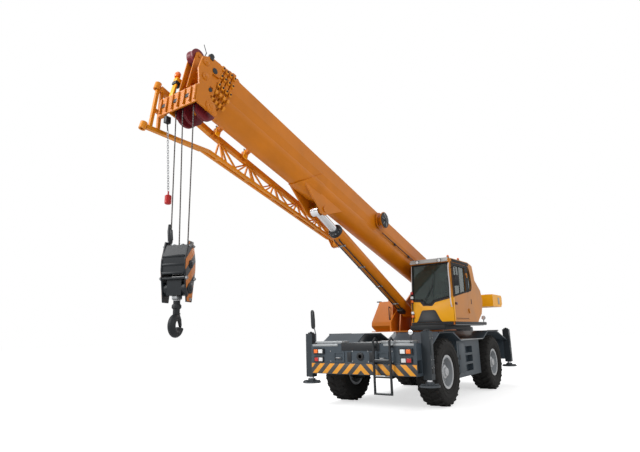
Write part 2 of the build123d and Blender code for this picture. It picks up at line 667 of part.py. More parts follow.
OUTER_PANE = Location((0, CAB_Y1 - GLASS_SET - GLASS_T, 0))
with BuildPart() as door_glass:
    add(pane(DOOR_WINDOW, FIT).moved(OUTER_PANE))
save(door_glass, "door_glass", CAB)

with BuildPart() as cab_glass:
    add(front_pane(WINDSCREEN, CAB_FRONT - GLASS_SET - GLASS_T, CAB_FRONT - GLASS_SET, FIT))
    add(pane(QUARTER_WINDOW, FIT).moved(OUTER_PANE))
    add(pane(INNER_WINDOW, FIT).moved(INNER_WALL * Location((0, GLASS_SET, 0))))
    (low_x, low_z), (high_x, high_z) = CAB_SIDE[6], CAB_SIDE[5]
    slope = (high_x - low_x) / (high_z - low_z)
    z0, z1 = REAR_WINDOW[0][1] + FIT, REAR_WINDOW[2][1] - FIT
    rear = [(low_x + (z - low_z) * slope + GLASS_SET, z) for z in (z0, z1)]
    plate([rear[0], rear[1], (rear[1][0] + GLASS_T, z1), (rear[0][0] + GLASS_T, z0)],
          REAR_WINDOW[0][0] + FIT, REAR_WINDOW[1][0] - FIT)
save(cab_glass, "cab_glass", CAB)

with BuildPart() as seat:
    block(-420, 60, 640, 1120, 2180, 2300)
    plate([(-520, 2300), (-400, 2300), (-480, 2960), (-590, 2940)], 650, 1110)
    block(-340, -20, 740, 1020, CAB_FLOOR + CAB_WALL + FIT, 2180)
save(seat, "operator_seat", CAB)

with BuildPart() as console:
    plate([(640, CAB_FLOOR + CAB_WALL + FIT), (860, CAB_FLOOR + CAB_WALL + FIT), (900, 2280),
           (700, 2360)], 620, 1140)
    strut((700, 880, 2280), (505, 880, 2455), 60)
    steering = Plane(origin=(510, 880, 2450), z_dir=(-180, 0, 160))
    with BuildSketch(steering) as rim_ring:
        RegularPolygon(radius=206, side_count=24)
        RegularPolygon(radius=172, side_count=24, mode=Mode.SUBTRACT)
    extrude(rim_ring.sketch, amount=15, both=True)
    with Locations(steering.location):
        Box(30, 380, 20)
save(console, "cab_console", CAB)

# ================================================================ boom

SECTION_PLANE = Plane(origin=(0, 0, 0), x_dir=(0, 1, 0), z_dir=(1, 0, 0))


def boom_solid(size, u0, u1, wall=0, mode=Mode.ADD):
    """A boom section's form between two stations, or its bore when a wall is given.

    Flat upper sides break inward at a crease and run into a half-round belly.
    """
    width, height, top = size
    width, height, top = width - 2 * wall, height - 2 * wall, top - wall
    half = width / 2
    crease = BOOM_TOP - CREASE_DROP
    belly = BOOM_TOP - BELLY_DROP
    with BuildSketch(SECTION_PLANE.offset(u0)) as section:
        with BuildLine():
            Polyline((-half + BELLY_INSET, belly), (-half, crease), (-half, top), (half, top),
                     (half, crease), (half - BELLY_INSET, belly))
            ThreePointArc((half - BELLY_INSET, belly), (0, top - height), (-half + BELLY_INSET, belly))
        make_face()
        fillet(section.vertices().group_by(Axis.Y)[-1], radius=25)
    extrude(section.sketch, amount=u1 - u0, mode=mode)


def slide_pad(size, u1, mode=Mode.ADD):
    """The wear pad in a section's mouth, on which the next section rests."""
    width, height, top = size
    floor = top - height + SECTION_WALL
    half = width * 0.04
    block(u1 - PAD_L, u1, -half, half, floor - 1, floor + SECTION_GAP - FIT)


def section_size(index):
    """Width, height and top of boom section 0 (base) to 3 (head)."""
    inset = index * (SECTION_WALL + SECTION_GAP)
    return BOOM_W - 2 * inset, BOOM_H - 2 * inset, BOOM_TOP - inset


def collar(index):
    """The collar at the mouth of a boom section, as wide as the head on each of them."""
    width, height, top = section_size(index)
    mouth = BASE_FRONT + index * SECTION_STEP
    boom_solid((COLLAR_W, height + COLLAR_TOP + COLLAR_DROP, top + COLLAR_TOP), mouth - COLLAR_L, mouth)


HEAD_U = BASE_FRONT + 3 * SECTION_STEP


def jib_point(station, row, u=None):
    """A place on one of the jib's tubes: row 1 is the main chord, 2 the outer and 3 the inner tube."""
    return HEAD_U + station[0], station[row][0], station[row][1]


def along_jib(back, row):
    """A place on a tube between the kink and the tip, at a distance behind the kink."""
    share = back / (JIB_KINK[0] - JIB_TIP[0])
    ends = zip(jib_point(JIB_KINK, row), jib_point(JIB_TIP, row))
    return tuple(a + (b - a) * share for a, b in ends)


with BuildPart() as boom_base:
    width, height, top = section_size(0)
    boom_solid(section_size(0), 350, BASE_FRONT)
    collar(0)
    block(200, 420, -width / 2, width / 2, top - height + 60, top)
    block(-150, 360, -width / 2, -width / 2 + 60, -150, 150)
    block(-150, 360, width / 2 - 60, width / 2, -150, 150)
    cross_pin(0, 0, -width / 2, width / 2, 300)
    cross_pin(0, 0, -width / 2, width / 2, PIVOT_PIN_D + 2 * FIT, mode=Mode.SUBTRACT)
    head_u, head_v = CYL_HEAD
    under = top - height
    with BuildPart(mode=Mode.PRIVATE) as saddle:
        boom_solid((width + 2 * SADDLE_T, height + SADDLE_T, top), head_u + SADDLE_REAR,
                   head_u + SADDLE_FRONT)
        block(head_u, head_u + SADDLE_FRONT + 1, -width, width, top - SADDLE_DROP, top + 1,
              mode=Mode.SUBTRACT)
        plate([(head_u + SADDLE_FRONT - 480, top - SADDLE_DROP + 1), (head_u + SADDLE_FRONT + 1, under - 1),
               (head_u + SADDLE_FRONT + 1, top - SADDLE_DROP + 1)], -width, width, mode=Mode.SUBTRACT)
    add(saddle.part)
    for side in (-1, 1):
        y0, y1 = sorted((side * LUG_GAP / 2, side * (LUG_GAP / 2 + LUG_T)))
        plate([(head_u - 700, under + 160), (head_u + 900, under + 160), (head_u + 720, under + 50),
               (head_u + 120, head_v - 80), (head_u + 40, head_v - 120), (head_u - 60, head_v - 120),
               (head_u - 130, head_v - 60), (head_u - 560, under + 50)], y0, y1)
        y0, y1 = sorted((side * 95, side * (LUG_GAP / 2)))
        cross_pin(head_u, head_v, y0, y1, 170)
    cross_pin(head_u, head_v, -LUG_GAP / 2 - 60, LUG_GAP / 2 + 60, CYL_PIN_D)
    boom_solid(section_size(0), 430, BASE_FRONT, SECTION_WALL, Mode.SUBTRACT)
    slide_pad(section_size(0), BASE_FRONT)
    for back in JIB_BRACKETS:
        _, y, v = along_jib(JIB_KINK[0] - back, 1)
        u = HEAD_U + back
        face = y + JIB_CHORD / 2 + FIT
        side = -width / 2 + BELLY_INSET + 6
        frontal([(side, -40), (side, -110), (face + 45, v - 20), (face + 45, v - JIB_CHORD),
                 (face, v - JIB_CHORD), (face, v + JIB_CHORD), (face + 45, v + JIB_CHORD)], u - 35, u + 35)
    reel_u, reel_v = REEL
    cross_pin(reel_u, reel_v, width / 2 - 1, width / 2 + REEL_W, REEL_D / 2)
    for y in (width / 2 + 20, width / 2 + REEL_W - 15):
        cross_pin(reel_u, reel_v, y, y + 15, REEL_D)
save(boom_base, "boom_base", BOOM)

for index in (1, 2, 3):
    with BuildPart() as section:
        u0, u1 = SECTION_REAR + index * SECTION_STEP, BASE_FRONT + index * SECTION_STEP
        boom_solid(section_size(index), u0, u1)
        collar(index)
        boom_solid(section_size(index), u0, u1, SECTION_WALL, Mode.SUBTRACT)
        if index < 3:
            slide_pad(section_size(index), u1)
    save(section, f"boom_section_{index + 1}", BOOM)

HEAD = BOOM * Location((HEAD_U, 0, 0))
# the side plates of the head by side, each from its lower front corner round to the back
CHEEK_BACK = [(60, 330), (0, 300), (0, 80), (150, 60), (130, -180), (60, -350), (-60, -430), (-140, -520),
              (-130, -590)]
HEAD_CHEEKS = (
    (-1, [(247, -585), (305, -310), (280, -200), (180, -60), (160, 200), *CHEEK_BACK]),
    (1, [(247, -585), (305, -310), (405, -30), (395, 200), (255, 310), *CHEEK_BACK]),
)
HEAD_BOX_L = 215
GUARD = [(252, -580), (305, -290), (340, -300), (287, -595)]
GUARD_END = -560
with BuildPart() as boom_head:
    for side, outline in HEAD_CHEEKS:
        y0, y1 = sorted((side * HEAD_HALF, side * (HEAD_HALF + CHEEK_PLATE)))
        plate(outline, y0, y1)
        y0, y1 = sorted((side * (GUIDE_T / 2 + MOVE), side * (GUIDE_T / 2 + MOVE + 20)))
        plate([(HEAD_BOX_L - 120, 170), (GUIDE_U - 70, GUIDE_V + 30), (GUIDE_U - 30, GUIDE_V + 60),
               (GUIDE_U + 40, GUIDE_V + 60), (GUIDE_U + 70, GUIDE_V + 20), (355, -290), (320, -290),
               (270, 150)], y0, y1)
    block(0, 40, -HEAD_HALF, HEAD_HALF, -280, 330)
    block(0, HEAD_BOX_L, -HEAD_HALF, HEAD_HALF, -150, 180)
    block(40, HEAD_BOX_L + 1, -HEAD_HALF + 50, HEAD_HALF - 50, -120, 150, mode=Mode.SUBTRACT)
    plate(GUARD, GUARD_END, HEAD_HALF + CHEEK_PLATE)
    plate([(215, -585), (275, -300), (305, -300), (265, -585)], GUARD_END, GUARD_END + 130)
    plate([(200, -470), (320, -470), (330, -410), (200, -410)], GUARD_END + 150, -HEAD_HALF - CHEEK_PLATE - 20,
          mode=Mode.SUBTRACT)
    plate([(140, -330), (270, -330), (285, -300), (140, -300)], GUARD_END, -HEAD_HALF)
    cross_pin(SHEAVE_U, SHEAVE_V, -HEAD_HALF - CHEEK_PLATE, HEAD_HALF + CHEEK_PLATE, AXLE_PIN_D)
    cross_pin(GUIDE_U, GUIDE_V, -GUIDE_T / 2 - MOVE - 30, GUIDE_T / 2 + MOVE + 30, 60)
    for u, v in JIB_PINS:
        cross_pin(u, v, HEAD_HALF - 51, HEAD_HALF + CHEEK_PLATE + 1, JIB_PIN_D, mode=Mode.SUBTRACT)
save(boom_head, "boom_head", HEAD)

with BuildPart() as head_sheaves:
    for y, _ in FALLS:
        pulley(SHEAVE_U, SHEAVE_V, y, SHEAVE_D, SHEAVE_T)
    cross_pin(SHEAVE_U, SHEAVE_V, -HEAD_HALF, HEAD_HALF, AXLE_PIN_D + 2 * FIT, mode=Mode.SUBTRACT)
    pulley(GUIDE_U, GUIDE_V, 0, GUIDE_D, GUIDE_T)
    cross_pin(GUIDE_U, GUIDE_V, -GUIDE_T, GUIDE_T, 60 + 2 * FIT, mode=Mode.SUBTRACT)
save(head_sheaves, "head_sheaves", HEAD)

# the jib: a fork at its root, then three tubes with lacing in the two upright faces and struts below
with BuildPart() as jib:
    lug_up, lug_down = jib_point(JIB_ROOT, 1), jib_point(JIB_ROOT, 2)
    for lug in (lug_up, lug_down):
        upright(lug[0], lug[1], lug[2] - 60, lug[2] + 60, 110)
        upright(lug[0], lug[1], lug[2] - 61, lug[2] + 61, JIB_PIN_D, mode=Mode.SUBTRACT)
    root_u = lug_up[0]
    strut((root_u - 50, -700, -15), jib_point(JIB_KINK, 1), JIB_CHORD)
    strut((root_u - 50, -700, -785), jib_point(JIB_KINK, 2), JIB_CHORD * 0.7)
    strut((root_u - 280, -700, -725), jib_point(JIB_KINK, 3), JIB_TUBE)
    strut((root_u - 20, -700, -50), (root_u - 114, -700, -745), JIB_TUBE)
    strut((root_u - 100, -700, -50), (root_u - 259, -700, -725), JIB_TUBE)
    strut((root_u - 70, -700, -420), (root_u - 180, -700, -420), JIB_TUBE)
    strut(jib_point(JIB_KINK, 1), jib_point(JIB_TIP, 1), JIB_CHORD)
    for row in (2, 3):
        strut(jib_point(JIB_KINK, row), jib_point(JIB_TIP, row), JIB_TUBE)
    for bay in range(JIB_BAYS):
        back = bay * JIB_BAY + JIB_FIRST
        node = along_jib(back, 1)
        for row in (2, 3):
            post, foot = along_jib(back + 100, row), along_jib(back + 470, row)
            strut(node, post, JIB_LACE)
            strut(node, foot, JIB_LACE)
            if bay < JIB_BAYS - 1:
                strut(foot, along_jib(back + JIB_BAY, 1), JIB_LACE)
        strut(along_jib(back + 100, 2), along_jib(back + 100, 3), JIB_LACE)
    tip_u, tip_y, tip_v = jib_point(JIB_TIP, 1)
    for y in (tip_y - 75, tip_y - 20, tip_y + 45):
        plate([(tip_u + 220, tip_v + 40), (tip_u - 40, tip_v + 40), (tip_u - 230, tip_v - 150),
               (tip_u - 210, tip_v - 290), (tip_u - 100, tip_v - 300), (tip_u + 90, tip_v - 170)], y, y + 16)
    cross_pin(tip_u - 120, tip_v - 190, tip_y - 75, tip_y + 60, 40)
    cross_pin(tip_u - 120, tip_v - 190, tip_y + 2, tip_y + 38, 200)
    strut((tip_u, tip_y - 60, tip_v - 150), jib_point(JIB_TIP, 2), JIB_TUBE)
    strut((tip_u, tip_y + 50, tip_v - 150), jib_point(JIB_TIP, 3), JIB_TUBE)
save(jib, "jib", BOOM)

# ================================================================ luffing cylinder

head = BOOM * Location((CYL_HEAD[0], 0, CYL_HEAD[1]))
HEAD_X, HEAD_Z = head.position.X, head.position.Z
CYL_ANGLE = degrees(atan2(HEAD_Z - CYL_FOOT[1], HEAD_X - CYL_FOOT[0]))
CYL_LENGTH = hypot(HEAD_Z - CYL_FOOT[1], HEAD_X - CYL_FOOT[0])
CYLINDER = Location((CYL_FOOT[0], 0, CYL_FOOT[1]), (0, -CYL_ANGLE, 0))

with BuildPart() as barrel:
    with Locations(Location(((BARREL_L + 140) / 2, 0, 0), (0, 90, 0))):
        Cylinder(BARREL_D / 2, BARREL_L - 140)
        Cylinder(ROD_D / 2 + FIT, BARREL_L - 140, mode=Mode.SUBTRACT)
    with Locations(Location((170, 0, 0), (0, 90, 0))):
        Cylinder(BARREL_D / 2, 60)
    block(0, 160, -80, 80, -90, 90)
    cross_pin(0, 0, -150, 150, EYE_D)
save(barrel, "luff_barrel", CYLINDER)

with BuildPart() as rod:
    with Locations(Location(((CYL_LENGTH + ROD_INNER) / 2, 0, 0), (0, 90, 0))):
        Cylinder(ROD_D / 2, CYL_LENGTH - ROD_INNER)
    cross_pin(CYL_LENGTH, 0, -90, 90, EYE_D)
    cross_pin(CYL_LENGTH, 0, -90, 90, CYL_PIN_D + 2 * FIT, mode=Mode.SUBTRACT)
save(rod, "luff_rod", CYLINDER)

# ================================================================ hook block and its ropes

sheave = HEAD * Location((SHEAVE_U, 0, SHEAVE_V))
SHEAVE_X, SHEAVE_Z = sheave.position.X, sheave.position.Z
FALL_X = SHEAVE_X + SHEAVE_D / 2 + ROPE_D / 2 + FIT

TWIST = Location((FALL_X, 0, 0), (0, 0, BLOCK_TWIST))

with BuildPart() as ropes:
    for y, block_y in FALLS:
        low_x = FALL_X - block_y * sin(radians(BLOCK_TWIST))
        low_y = block_y * cos(radians(BLOCK_TWIST))
        round_bar((FALL_X, y, SHEAVE_Z), (low_x, low_y, BLOCK_HOUSING + 2 * FIT), ROPE_D)
save(ropes, "hoist_ropes")

BLOCK_PLATE = 18
# the block's side plates, and the guard between them, by their side outlines
BLOCK_CHEEK = [(-72, BLOCK_TOP), (72, BLOCK_TOP), (145, 2700), (148, 2560), (72, BLOCK_BOTTOM),
               (-72, BLOCK_BOTTOM), (-148, 2560), (-145, 2700)]
BLOCK_GUARD = [(-70, BLOCK_HOUSING), (70, BLOCK_HOUSING), (138, 2745), (138, 2525), (-138, 2525),
               (-138, 2745)]
with BuildPart() as hook_block:
    plate(BLOCK_GUARD, -BLOCK_HALF, BLOCK_HALF)
    plate([(-60, 2903), (60, 2903), (126, 2740), (126, 2500), (-126, 2500), (-126, 2740)],
          -BLOCK_HALF + 1, BLOCK_HALF - 1, mode=Mode.SUBTRACT)
    for _, y in FALLS:
        block(-50, 50, y - 22, y + 22, BLOCK_HOUSING - 60, BLOCK_HOUSING + 1, mode=Mode.SUBTRACT)
        pulley(0, BLOCK_SHEAVE_Z, y, 236, 40)
    cross_pin(0, BLOCK_SHEAVE_Z, -BLOCK_HALF - BLOCK_PLATE - 14, BLOCK_HALF + BLOCK_PLATE + 14, 70)
    for side in (-1, 1):
        y0, y1 = sorted((side * BLOCK_HALF, side * (BLOCK_HALF + BLOCK_PLATE)))
        plate(BLOCK_CHEEK, y0, y1)
    cross_pin(0, CROSSHEAD_Z, -BLOCK_HALF, BLOCK_HALF, CROSSHEAD_D)
    block(-95, 95, -110, 110, CROSSHEAD_Z - CROSSHEAD_D / 2, CROSSHEAD_Z + 120)
    for x in (-110, 110):
        cross_pin(x, 2440, -BLOCK_HALF, BLOCK_HALF, 36)
save(hook_block, "hook_block", TWIST)

bowl_z = HOOK_BOTTOM + HOOK_R + HOOK_BAR / 2
with BuildPart() as hook:
    upright(0, 0, bowl_z + HOOK_R - 10, CROSSHEAD_Z - CROSSHEAD_D / 2 - FIT, 95)
    with BuildSketch(Plane(origin=(0, 0, bowl_z + HOOK_R), x_dir=(0, 1, 0), z_dir=(1, 0, 0))) as bar:
        Circle(HOOK_BAR / 2)
    revolve(bar.sketch, axis=Axis((0, 0, bowl_z), (0, 1, 0)), revolution_arc=250)
save(hook, "hook", TWIST)
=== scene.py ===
import math

import bpy
from mathutils import Euler, Matrix, Vector


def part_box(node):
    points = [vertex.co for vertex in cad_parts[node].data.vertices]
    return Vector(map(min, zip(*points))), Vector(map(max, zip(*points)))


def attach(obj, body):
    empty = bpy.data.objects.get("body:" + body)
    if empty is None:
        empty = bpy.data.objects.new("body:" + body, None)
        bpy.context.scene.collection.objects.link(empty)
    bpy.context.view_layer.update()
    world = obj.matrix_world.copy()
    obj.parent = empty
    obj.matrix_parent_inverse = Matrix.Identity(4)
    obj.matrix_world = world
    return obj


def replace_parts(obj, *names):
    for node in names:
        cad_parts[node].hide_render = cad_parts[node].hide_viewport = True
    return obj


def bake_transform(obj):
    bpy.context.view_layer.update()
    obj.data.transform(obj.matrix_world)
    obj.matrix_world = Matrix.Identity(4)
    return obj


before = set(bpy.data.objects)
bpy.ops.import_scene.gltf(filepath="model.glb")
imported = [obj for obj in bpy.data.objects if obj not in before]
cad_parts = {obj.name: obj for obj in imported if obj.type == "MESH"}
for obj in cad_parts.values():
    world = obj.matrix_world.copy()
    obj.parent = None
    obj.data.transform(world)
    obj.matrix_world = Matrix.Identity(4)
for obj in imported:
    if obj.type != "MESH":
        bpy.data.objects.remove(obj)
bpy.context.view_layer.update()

# ---------------------------------------------------------------- floor, light and camera
# A white studio: a pale floor that fades into a white surround, and three broad soft lamps. The key
# lamp stands ahead on the crane's right, a weaker one on its left and one behind; the camera is low
# at the crane's front left corner.
bpy.ops.object.select_all(action="DESELECT")
bpy.ops.mesh.primitive_circle_add(vertices=96, radius=90, fill_type="NGON", location=(0, 0, 0))
floor = bpy.context.object
floor.name = "studio_floor"
floor_paint = bpy.data.materials.new("studio_floor")
floor_paint.use_nodes = True
nodes, links = floor_paint.node_tree.nodes, floor_paint.node_tree.links
nodes.clear()
floor_out = nodes.new("ShaderNodeOutputMaterial")
floor_sum = nodes.new("ShaderNodeAddShader")
floor_matt = nodes.new("ShaderNodeBsdfDiffuse")
floor_matt.inputs["Color"].default_value = (0.8, 0.8, 0.8, 1)
floor_glow = nodes.new("ShaderNodeEmission")
floor_seen = nodes.new("ShaderNodeLightPath")
floor_level = nodes.new("ShaderNodeMath")
floor_level.operation = "MULTIPLY"
floor_level.inputs[1].default_value = 0.62
links.new(floor_seen.outputs["Is Camera Ray"], floor_level.inputs[0])
links.new(floor_level.outputs[0], floor_glow.inputs["Strength"])
links.new(floor_matt.outputs[0], floor_sum.inputs[0])
links.new(floor_glow.outputs[0], floor_sum.inputs[1])
links.new(floor_sum.outputs[0], floor_out.inputs["Surface"])
floor.data.materials.append(floor_paint)

surround = bpy.data.worlds.new("white_surround")
surround.use_nodes = True
nodes, links = surround.node_tree.nodes, surround.node_tree.links
nodes.clear()
world_out = nodes.new("ShaderNodeOutputWorld")
world_mix = nodes.new("ShaderNodeMixShader")
world_seen = nodes.new("ShaderNodeLightPath")
world_any = nodes.new("ShaderNodeMath")
world_any.operation = "MAXIMUM"
world_all = nodes.new("ShaderNodeMath")
world_all.operation = "MAXIMUM"
world_soft = nodes.new("ShaderNodeBackground")
world_soft.inputs["Color"].default_value = (1, 1, 1, 1)
world_soft.inputs["Strength"].default_value = 0.5
world_white = nodes.new("ShaderNodeBackground")
world_white.inputs["Color"].default_value = (1, 1, 1, 1)
world_white.inputs["Strength"].default_value = 1.0
links.new(world_seen.outputs["Is Camera Ray"], world_any.inputs[0])
links.new(world_seen.outputs["Is Glossy Ray"], world_any.inputs[1])
links.new(world_any.outputs[0], world_all.inputs[0])
links.new(world_seen.outputs["Is Transmission Ray"], world_all.inputs[1])
links.new(world_all.outputs[0], world_mix.inputs["Fac"])
links.new(world_soft.outputs[0], world_mix.inputs[1])
links.new(world_white.outputs[0], world_mix.inputs[2])
links.new(world_mix.outputs[0], world_out.inputs["Surface"])
bpy.context.scene.world = surround

# lamp: name, place, size, power
for name, place, size, power in (
    ("key", (16, -7, 11), 9, 2300),
    ("fill", (6, 16, 9), 10, 900),
    ("back", (-14, -4, 12), 9, 700),
):
    lamp_data = bpy.data.lights.new(name, "AREA")
    lamp_data.size = size
    lamp_data.energy = power
    lamp = bpy.data.objects.new(name, lamp_data)
    lamp.location = place
    lamp.rotation_euler = (Vector((0, 0, 2)) - Vector(place)).to_track_quat("-Z", "Y").to_euler()
    bpy.context.collection.objects.link(lamp)

camera_place = (10.195, 5.515, 1.650)
yaw, pitch, roll = math.radians(214.995), math.radians(12.668), math.radians(-1.308)
look = Vector((math.cos(yaw) * math.cos(pitch), math.sin(yaw) * math.cos(pitch), math.sin(pitch)))
level = Vector((math.sin(yaw), -math.cos(yaw), 0))
upright = level.cross(look)
right = level * math.cos(roll) + upright * math.sin(roll)
up = upright * math.cos(roll) - level * math.sin(roll)
camera_data = bpy.data.cameras.new("camera")
camera_data.angle = math.radians(67.8)
camera_data.clip_end = 300
camera = bpy.data.objects.new("camera", camera_data)
turn = Matrix((right, up, -look)).transposed().to_4x4()
camera.matrix_world = Matrix.Translation(camera_place) @ turn
bpy.context.collection.objects.link(camera)
bpy.context.scene.camera = camera
bpy.context.scene.view_settings.view_transform = "Standard"


# ---------------------------------------------------------------- boom
# Four welded steel box sections that slide in each other, and the head at their end, sprayed in
# slightly glossy orange enamel that is faded in patches.
def enamel(name, colour, shade=0.8, roughness=0.42, grain=60.0, bump=0.04, coat=0.1):
    """Sprayed enamel: mottled colour, uneven gloss and a fine orange-peel surface."""
    paint = bpy.data.materials.new(name)
    paint.use_nodes = True
    nodes, links = paint.node_tree.nodes, paint.node_tree.links
    shader = nodes["Principled BSDF"]
    shader.inputs["Coat Weight"].default_value = coat
    shader.inputs["Specular IOR Level"].default_value = 0.25
    shader.inputs["Coat Roughness"].default_value = 0.2
    place = nodes.new("ShaderNodeTexCoord")
    patches = nodes.new("ShaderNodeTexNoise")
    patches.inputs["Scale"].default_value = 1.6
    patches.inputs["Detail"].default_value = 6
    links.new(place.outputs["Object"], patches.inputs["Vector"])
    spread = nodes.new("ShaderNodeMapRange")
    spread.inputs["From Min"].default_value = 0.3
    spread.inputs["From Max"].default_value = 0.7
    links.new(patches.outputs["Fac"], spread.inputs["Value"])
    mix = nodes.new("ShaderNodeMix")
    mix.data_type = "RGBA"
    mix.inputs["A"].default_value = (*[c * shade for c in colour], 1)
    mix.inputs["B"].default_value = (*colour, 1)
    links.new(spread.outputs["Result"], mix.inputs["Factor"])
    links.new(mix.outputs["Result"], shader.inputs["Base Color"])
    sheen = nodes.new("ShaderNodeMapRange")
    sheen.inputs["To Min"].default_value = roughness - 0.08
    sheen.inputs["To Max"].default_value = roughness + 0.1
    links.new(patches.outputs["Fac"], sheen.inputs["Value"])
    links.new(sheen.outputs["Result"], shader.inputs["Roughness"])
    peel = nodes.new("ShaderNodeTexNoise")
    peel.inputs["Scale"].default_value = grain
    peel.inputs["Detail"].default_value = 3
    links.new(place.outputs["Object"], peel.inputs["Vector"])
    relief = nodes.new("ShaderNodeBump")
    relief.inputs["Strength"].default_value = bump
    relief.inputs["Distance"].default_value = 0.01
    links.new(peel.outputs["Fac"], relief.inputs["Height"])
    links.new(relief.outputs["Normal"], shader.inputs["Normal"])
    return paint


def finish_nodes(material, slot_name, *names):
    """Give CAD nodes one finish."""
    for name in names:
        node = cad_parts[name]
        node.data.materials.clear()
        node.data.materials.append(material)


orange = enamel("crane_orange", (0.62, 0.185, 0.003))
finish_nodes(orange, "crane_orange", "boom_base", "boom_section_2", "boom_section_3", "boom_section_4",
             "boom_head")


def clear_selection():
    """Leave nothing selected, so that an operator touches only the new piece."""
    bpy.ops.object.select_all(action="DESELECT")


def chunk(material, place, size, at=Matrix(), bevel=0.006, turn=(0, 0, 0)):
    """A block with rounded edges, set in a frame of its carrier."""
    clear_selection()
    bpy.ops.mesh.primitive_cube_add(size=1, scale=size)
    part = bpy.context.object
    bpy.ops.object.transform_apply(location=False, rotation=False, scale=True)
    bpy.ops.object.mode_set(mode="EDIT")
    bpy.ops.mesh.select_all(action="SELECT")
    bpy.ops.mesh.bevel(offset=min(bevel, min(size) * 0.3), segments=2)
    bpy.ops.object.mode_set(mode="OBJECT")
    lean = Euler([math.radians(a) for a in turn]).to_matrix().to_4x4()
    part.matrix_world = at @ Matrix.Translation(place) @ lean
    bpy.ops.object.transform_apply()
    part.data.materials.append(material)
    return part


def drawn_out(fill, rings, sides):
    """A circle of edges or a disc, drawn out through rings of (radius, distance), in edit mode."""
    clear_selection()
    radius, rise = rings[0]
    bpy.ops.mesh.primitive_circle_add(vertices=sides, radius=radius, fill_type=fill,
                                      location=(0, 0, rise))
    part = bpy.context.object
    bpy.ops.object.transform_apply()
    bpy.ops.object.mode_set(mode="EDIT")
    bpy.ops.mesh.select_all(action="SELECT")
    for next_radius, next_rise in rings[1:]:
        bpy.ops.mesh.extrude_region_move(TRANSFORM_OT_translate={"value": (0, 0, next_rise - rise)})
        grow = next_radius / radius
        bpy.ops.transform.resize(value=(grow, grow, 1), center_override=(0, 0, next_rise))
        radius, rise = next_radius, next_rise
    return part


def stood(part, material, place, axis, at):
    """Leave edit mode, stand the part along its axis at its place and give it its material."""
    bpy.ops.object.mode_set(mode="OBJECT")
    lean = Vector(axis).to_track_quat("Z", "Y").to_matrix().to_4x4()
    part.matrix_world = at @ Matrix.Translation(place) @ lean
    bpy.ops.object.transform_apply()
    part.data.materials.append(material)
    return part


def turned(material, place, axis, rings, at=Matrix(), sides=24):
    """A closed lathe form along an axis."""
    return stood(drawn_out("NGON", rings, sides), material, place, axis, at)


def rod(material, start, end, radius, at=Matrix(), sides=12):
    """A round bar with chamfered ends between two places."""
    run = Vector(end) - Vector(start)
    length, edge = run.length, min(radius * 0.3, run.length * 0.2)
    rings = [(radius - edge, 0), (radius, edge), (radius, length - edge), (radius - edge, length)]
    return turned(material, start, run, rings, at, sides)


def facing(origin, across, upward):
    """A frame on a face: x and y run across and up it, and z is square to it."""
    across, upward = Vector(across).normalized(), Vector(upward).normalized()
    turn = Matrix((across, upward, across.cross(upward))).transposed().to_4x4()
    return Matrix.Translation(origin) @ turn


def sheet(material, outline, depth, at=Matrix(), bevel=0.003, rim=0.0):
    """A plate of an outline in x and y, drawn out along z; with a rim only its border is kept."""
    clear_selection()
    bpy.ops.mesh.primitive_circle_add(vertices=len(outline), radius=1, fill_type="NGON")
    part = bpy.context.object
    for corner, (x, y) in zip(part.data.vertices, outline):
        corner.co = (x, y, 0)
    bpy.ops.object.mode_set(mode="EDIT")
    bpy.ops.mesh.select_all(action="SELECT")
    if rim:
        bpy.ops.mesh.inset(thickness=rim)
        bpy.ops.mesh.delete(type="FACE")
        bpy.ops.mesh.select_all(action="SELECT")
    bpy.ops.mesh.extrude_region_move(TRANSFORM_OT_translate={"value": (0, 0, depth)})
    bpy.ops.mesh.select_all(action="SELECT")
    if bevel and not rim:
        bpy.ops.mesh.bevel(offset=bevel, segments=2)
    bpy.ops.object.mode_set(mode="OBJECT")
    part.matrix_world = at
    bpy.ops.object.transform_apply()
    part.data.materials.append(material)
    return part


def again(part, move):
    """A copy with its own mesh, moved or mirrored."""
    twin = part.copy()
    twin.data = part.data.copy()
    twin.data.transform(move)
    bpy.context.collection.objects.link(twin)
    return twin


def shifted(x, y, z):
    """A plain move."""
    return Matrix.Translation((x, y, z))


def gather(name, parts, body, angle=35):
    """Join parts to one finished piece, normals outward, that rides on a body."""
    clear_selection()
    for part in parts:
        part.select_set(True)
    bpy.context.view_layer.objects.active = parts[0]
    if len(parts) > 1:
        bpy.ops.object.join()
    piece = bpy.context.object
    bpy.ops.object.mode_set(mode="EDIT")
    bpy.ops.mesh.select_all(action="SELECT")
    bpy.ops.mesh.normals_make_consistent(inside=False)
    bpy.ops.object.mode_set(mode="OBJECT")
    bpy.ops.object.shade_smooth_by_angle(angle=math.radians(angle))
    piece.name = name
    piece.data.name = name
    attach(piece, body)
    return piece


# ---------------------------------------------------------------- boom fittings
# Hose clips with a hydraulic pipe on the boom's left side, pad covers along its top and lifting
# eyes near both ends. Black and bare steel, bolted on; the eyes are welded and painted.
AHEAD, LEFT, UP = (1, 0, 0), (0, 1, 0), (0, 0, 1)
boom_pivot = (-3.528, 0, 2.95)
boom_rise = math.radians(16.05)
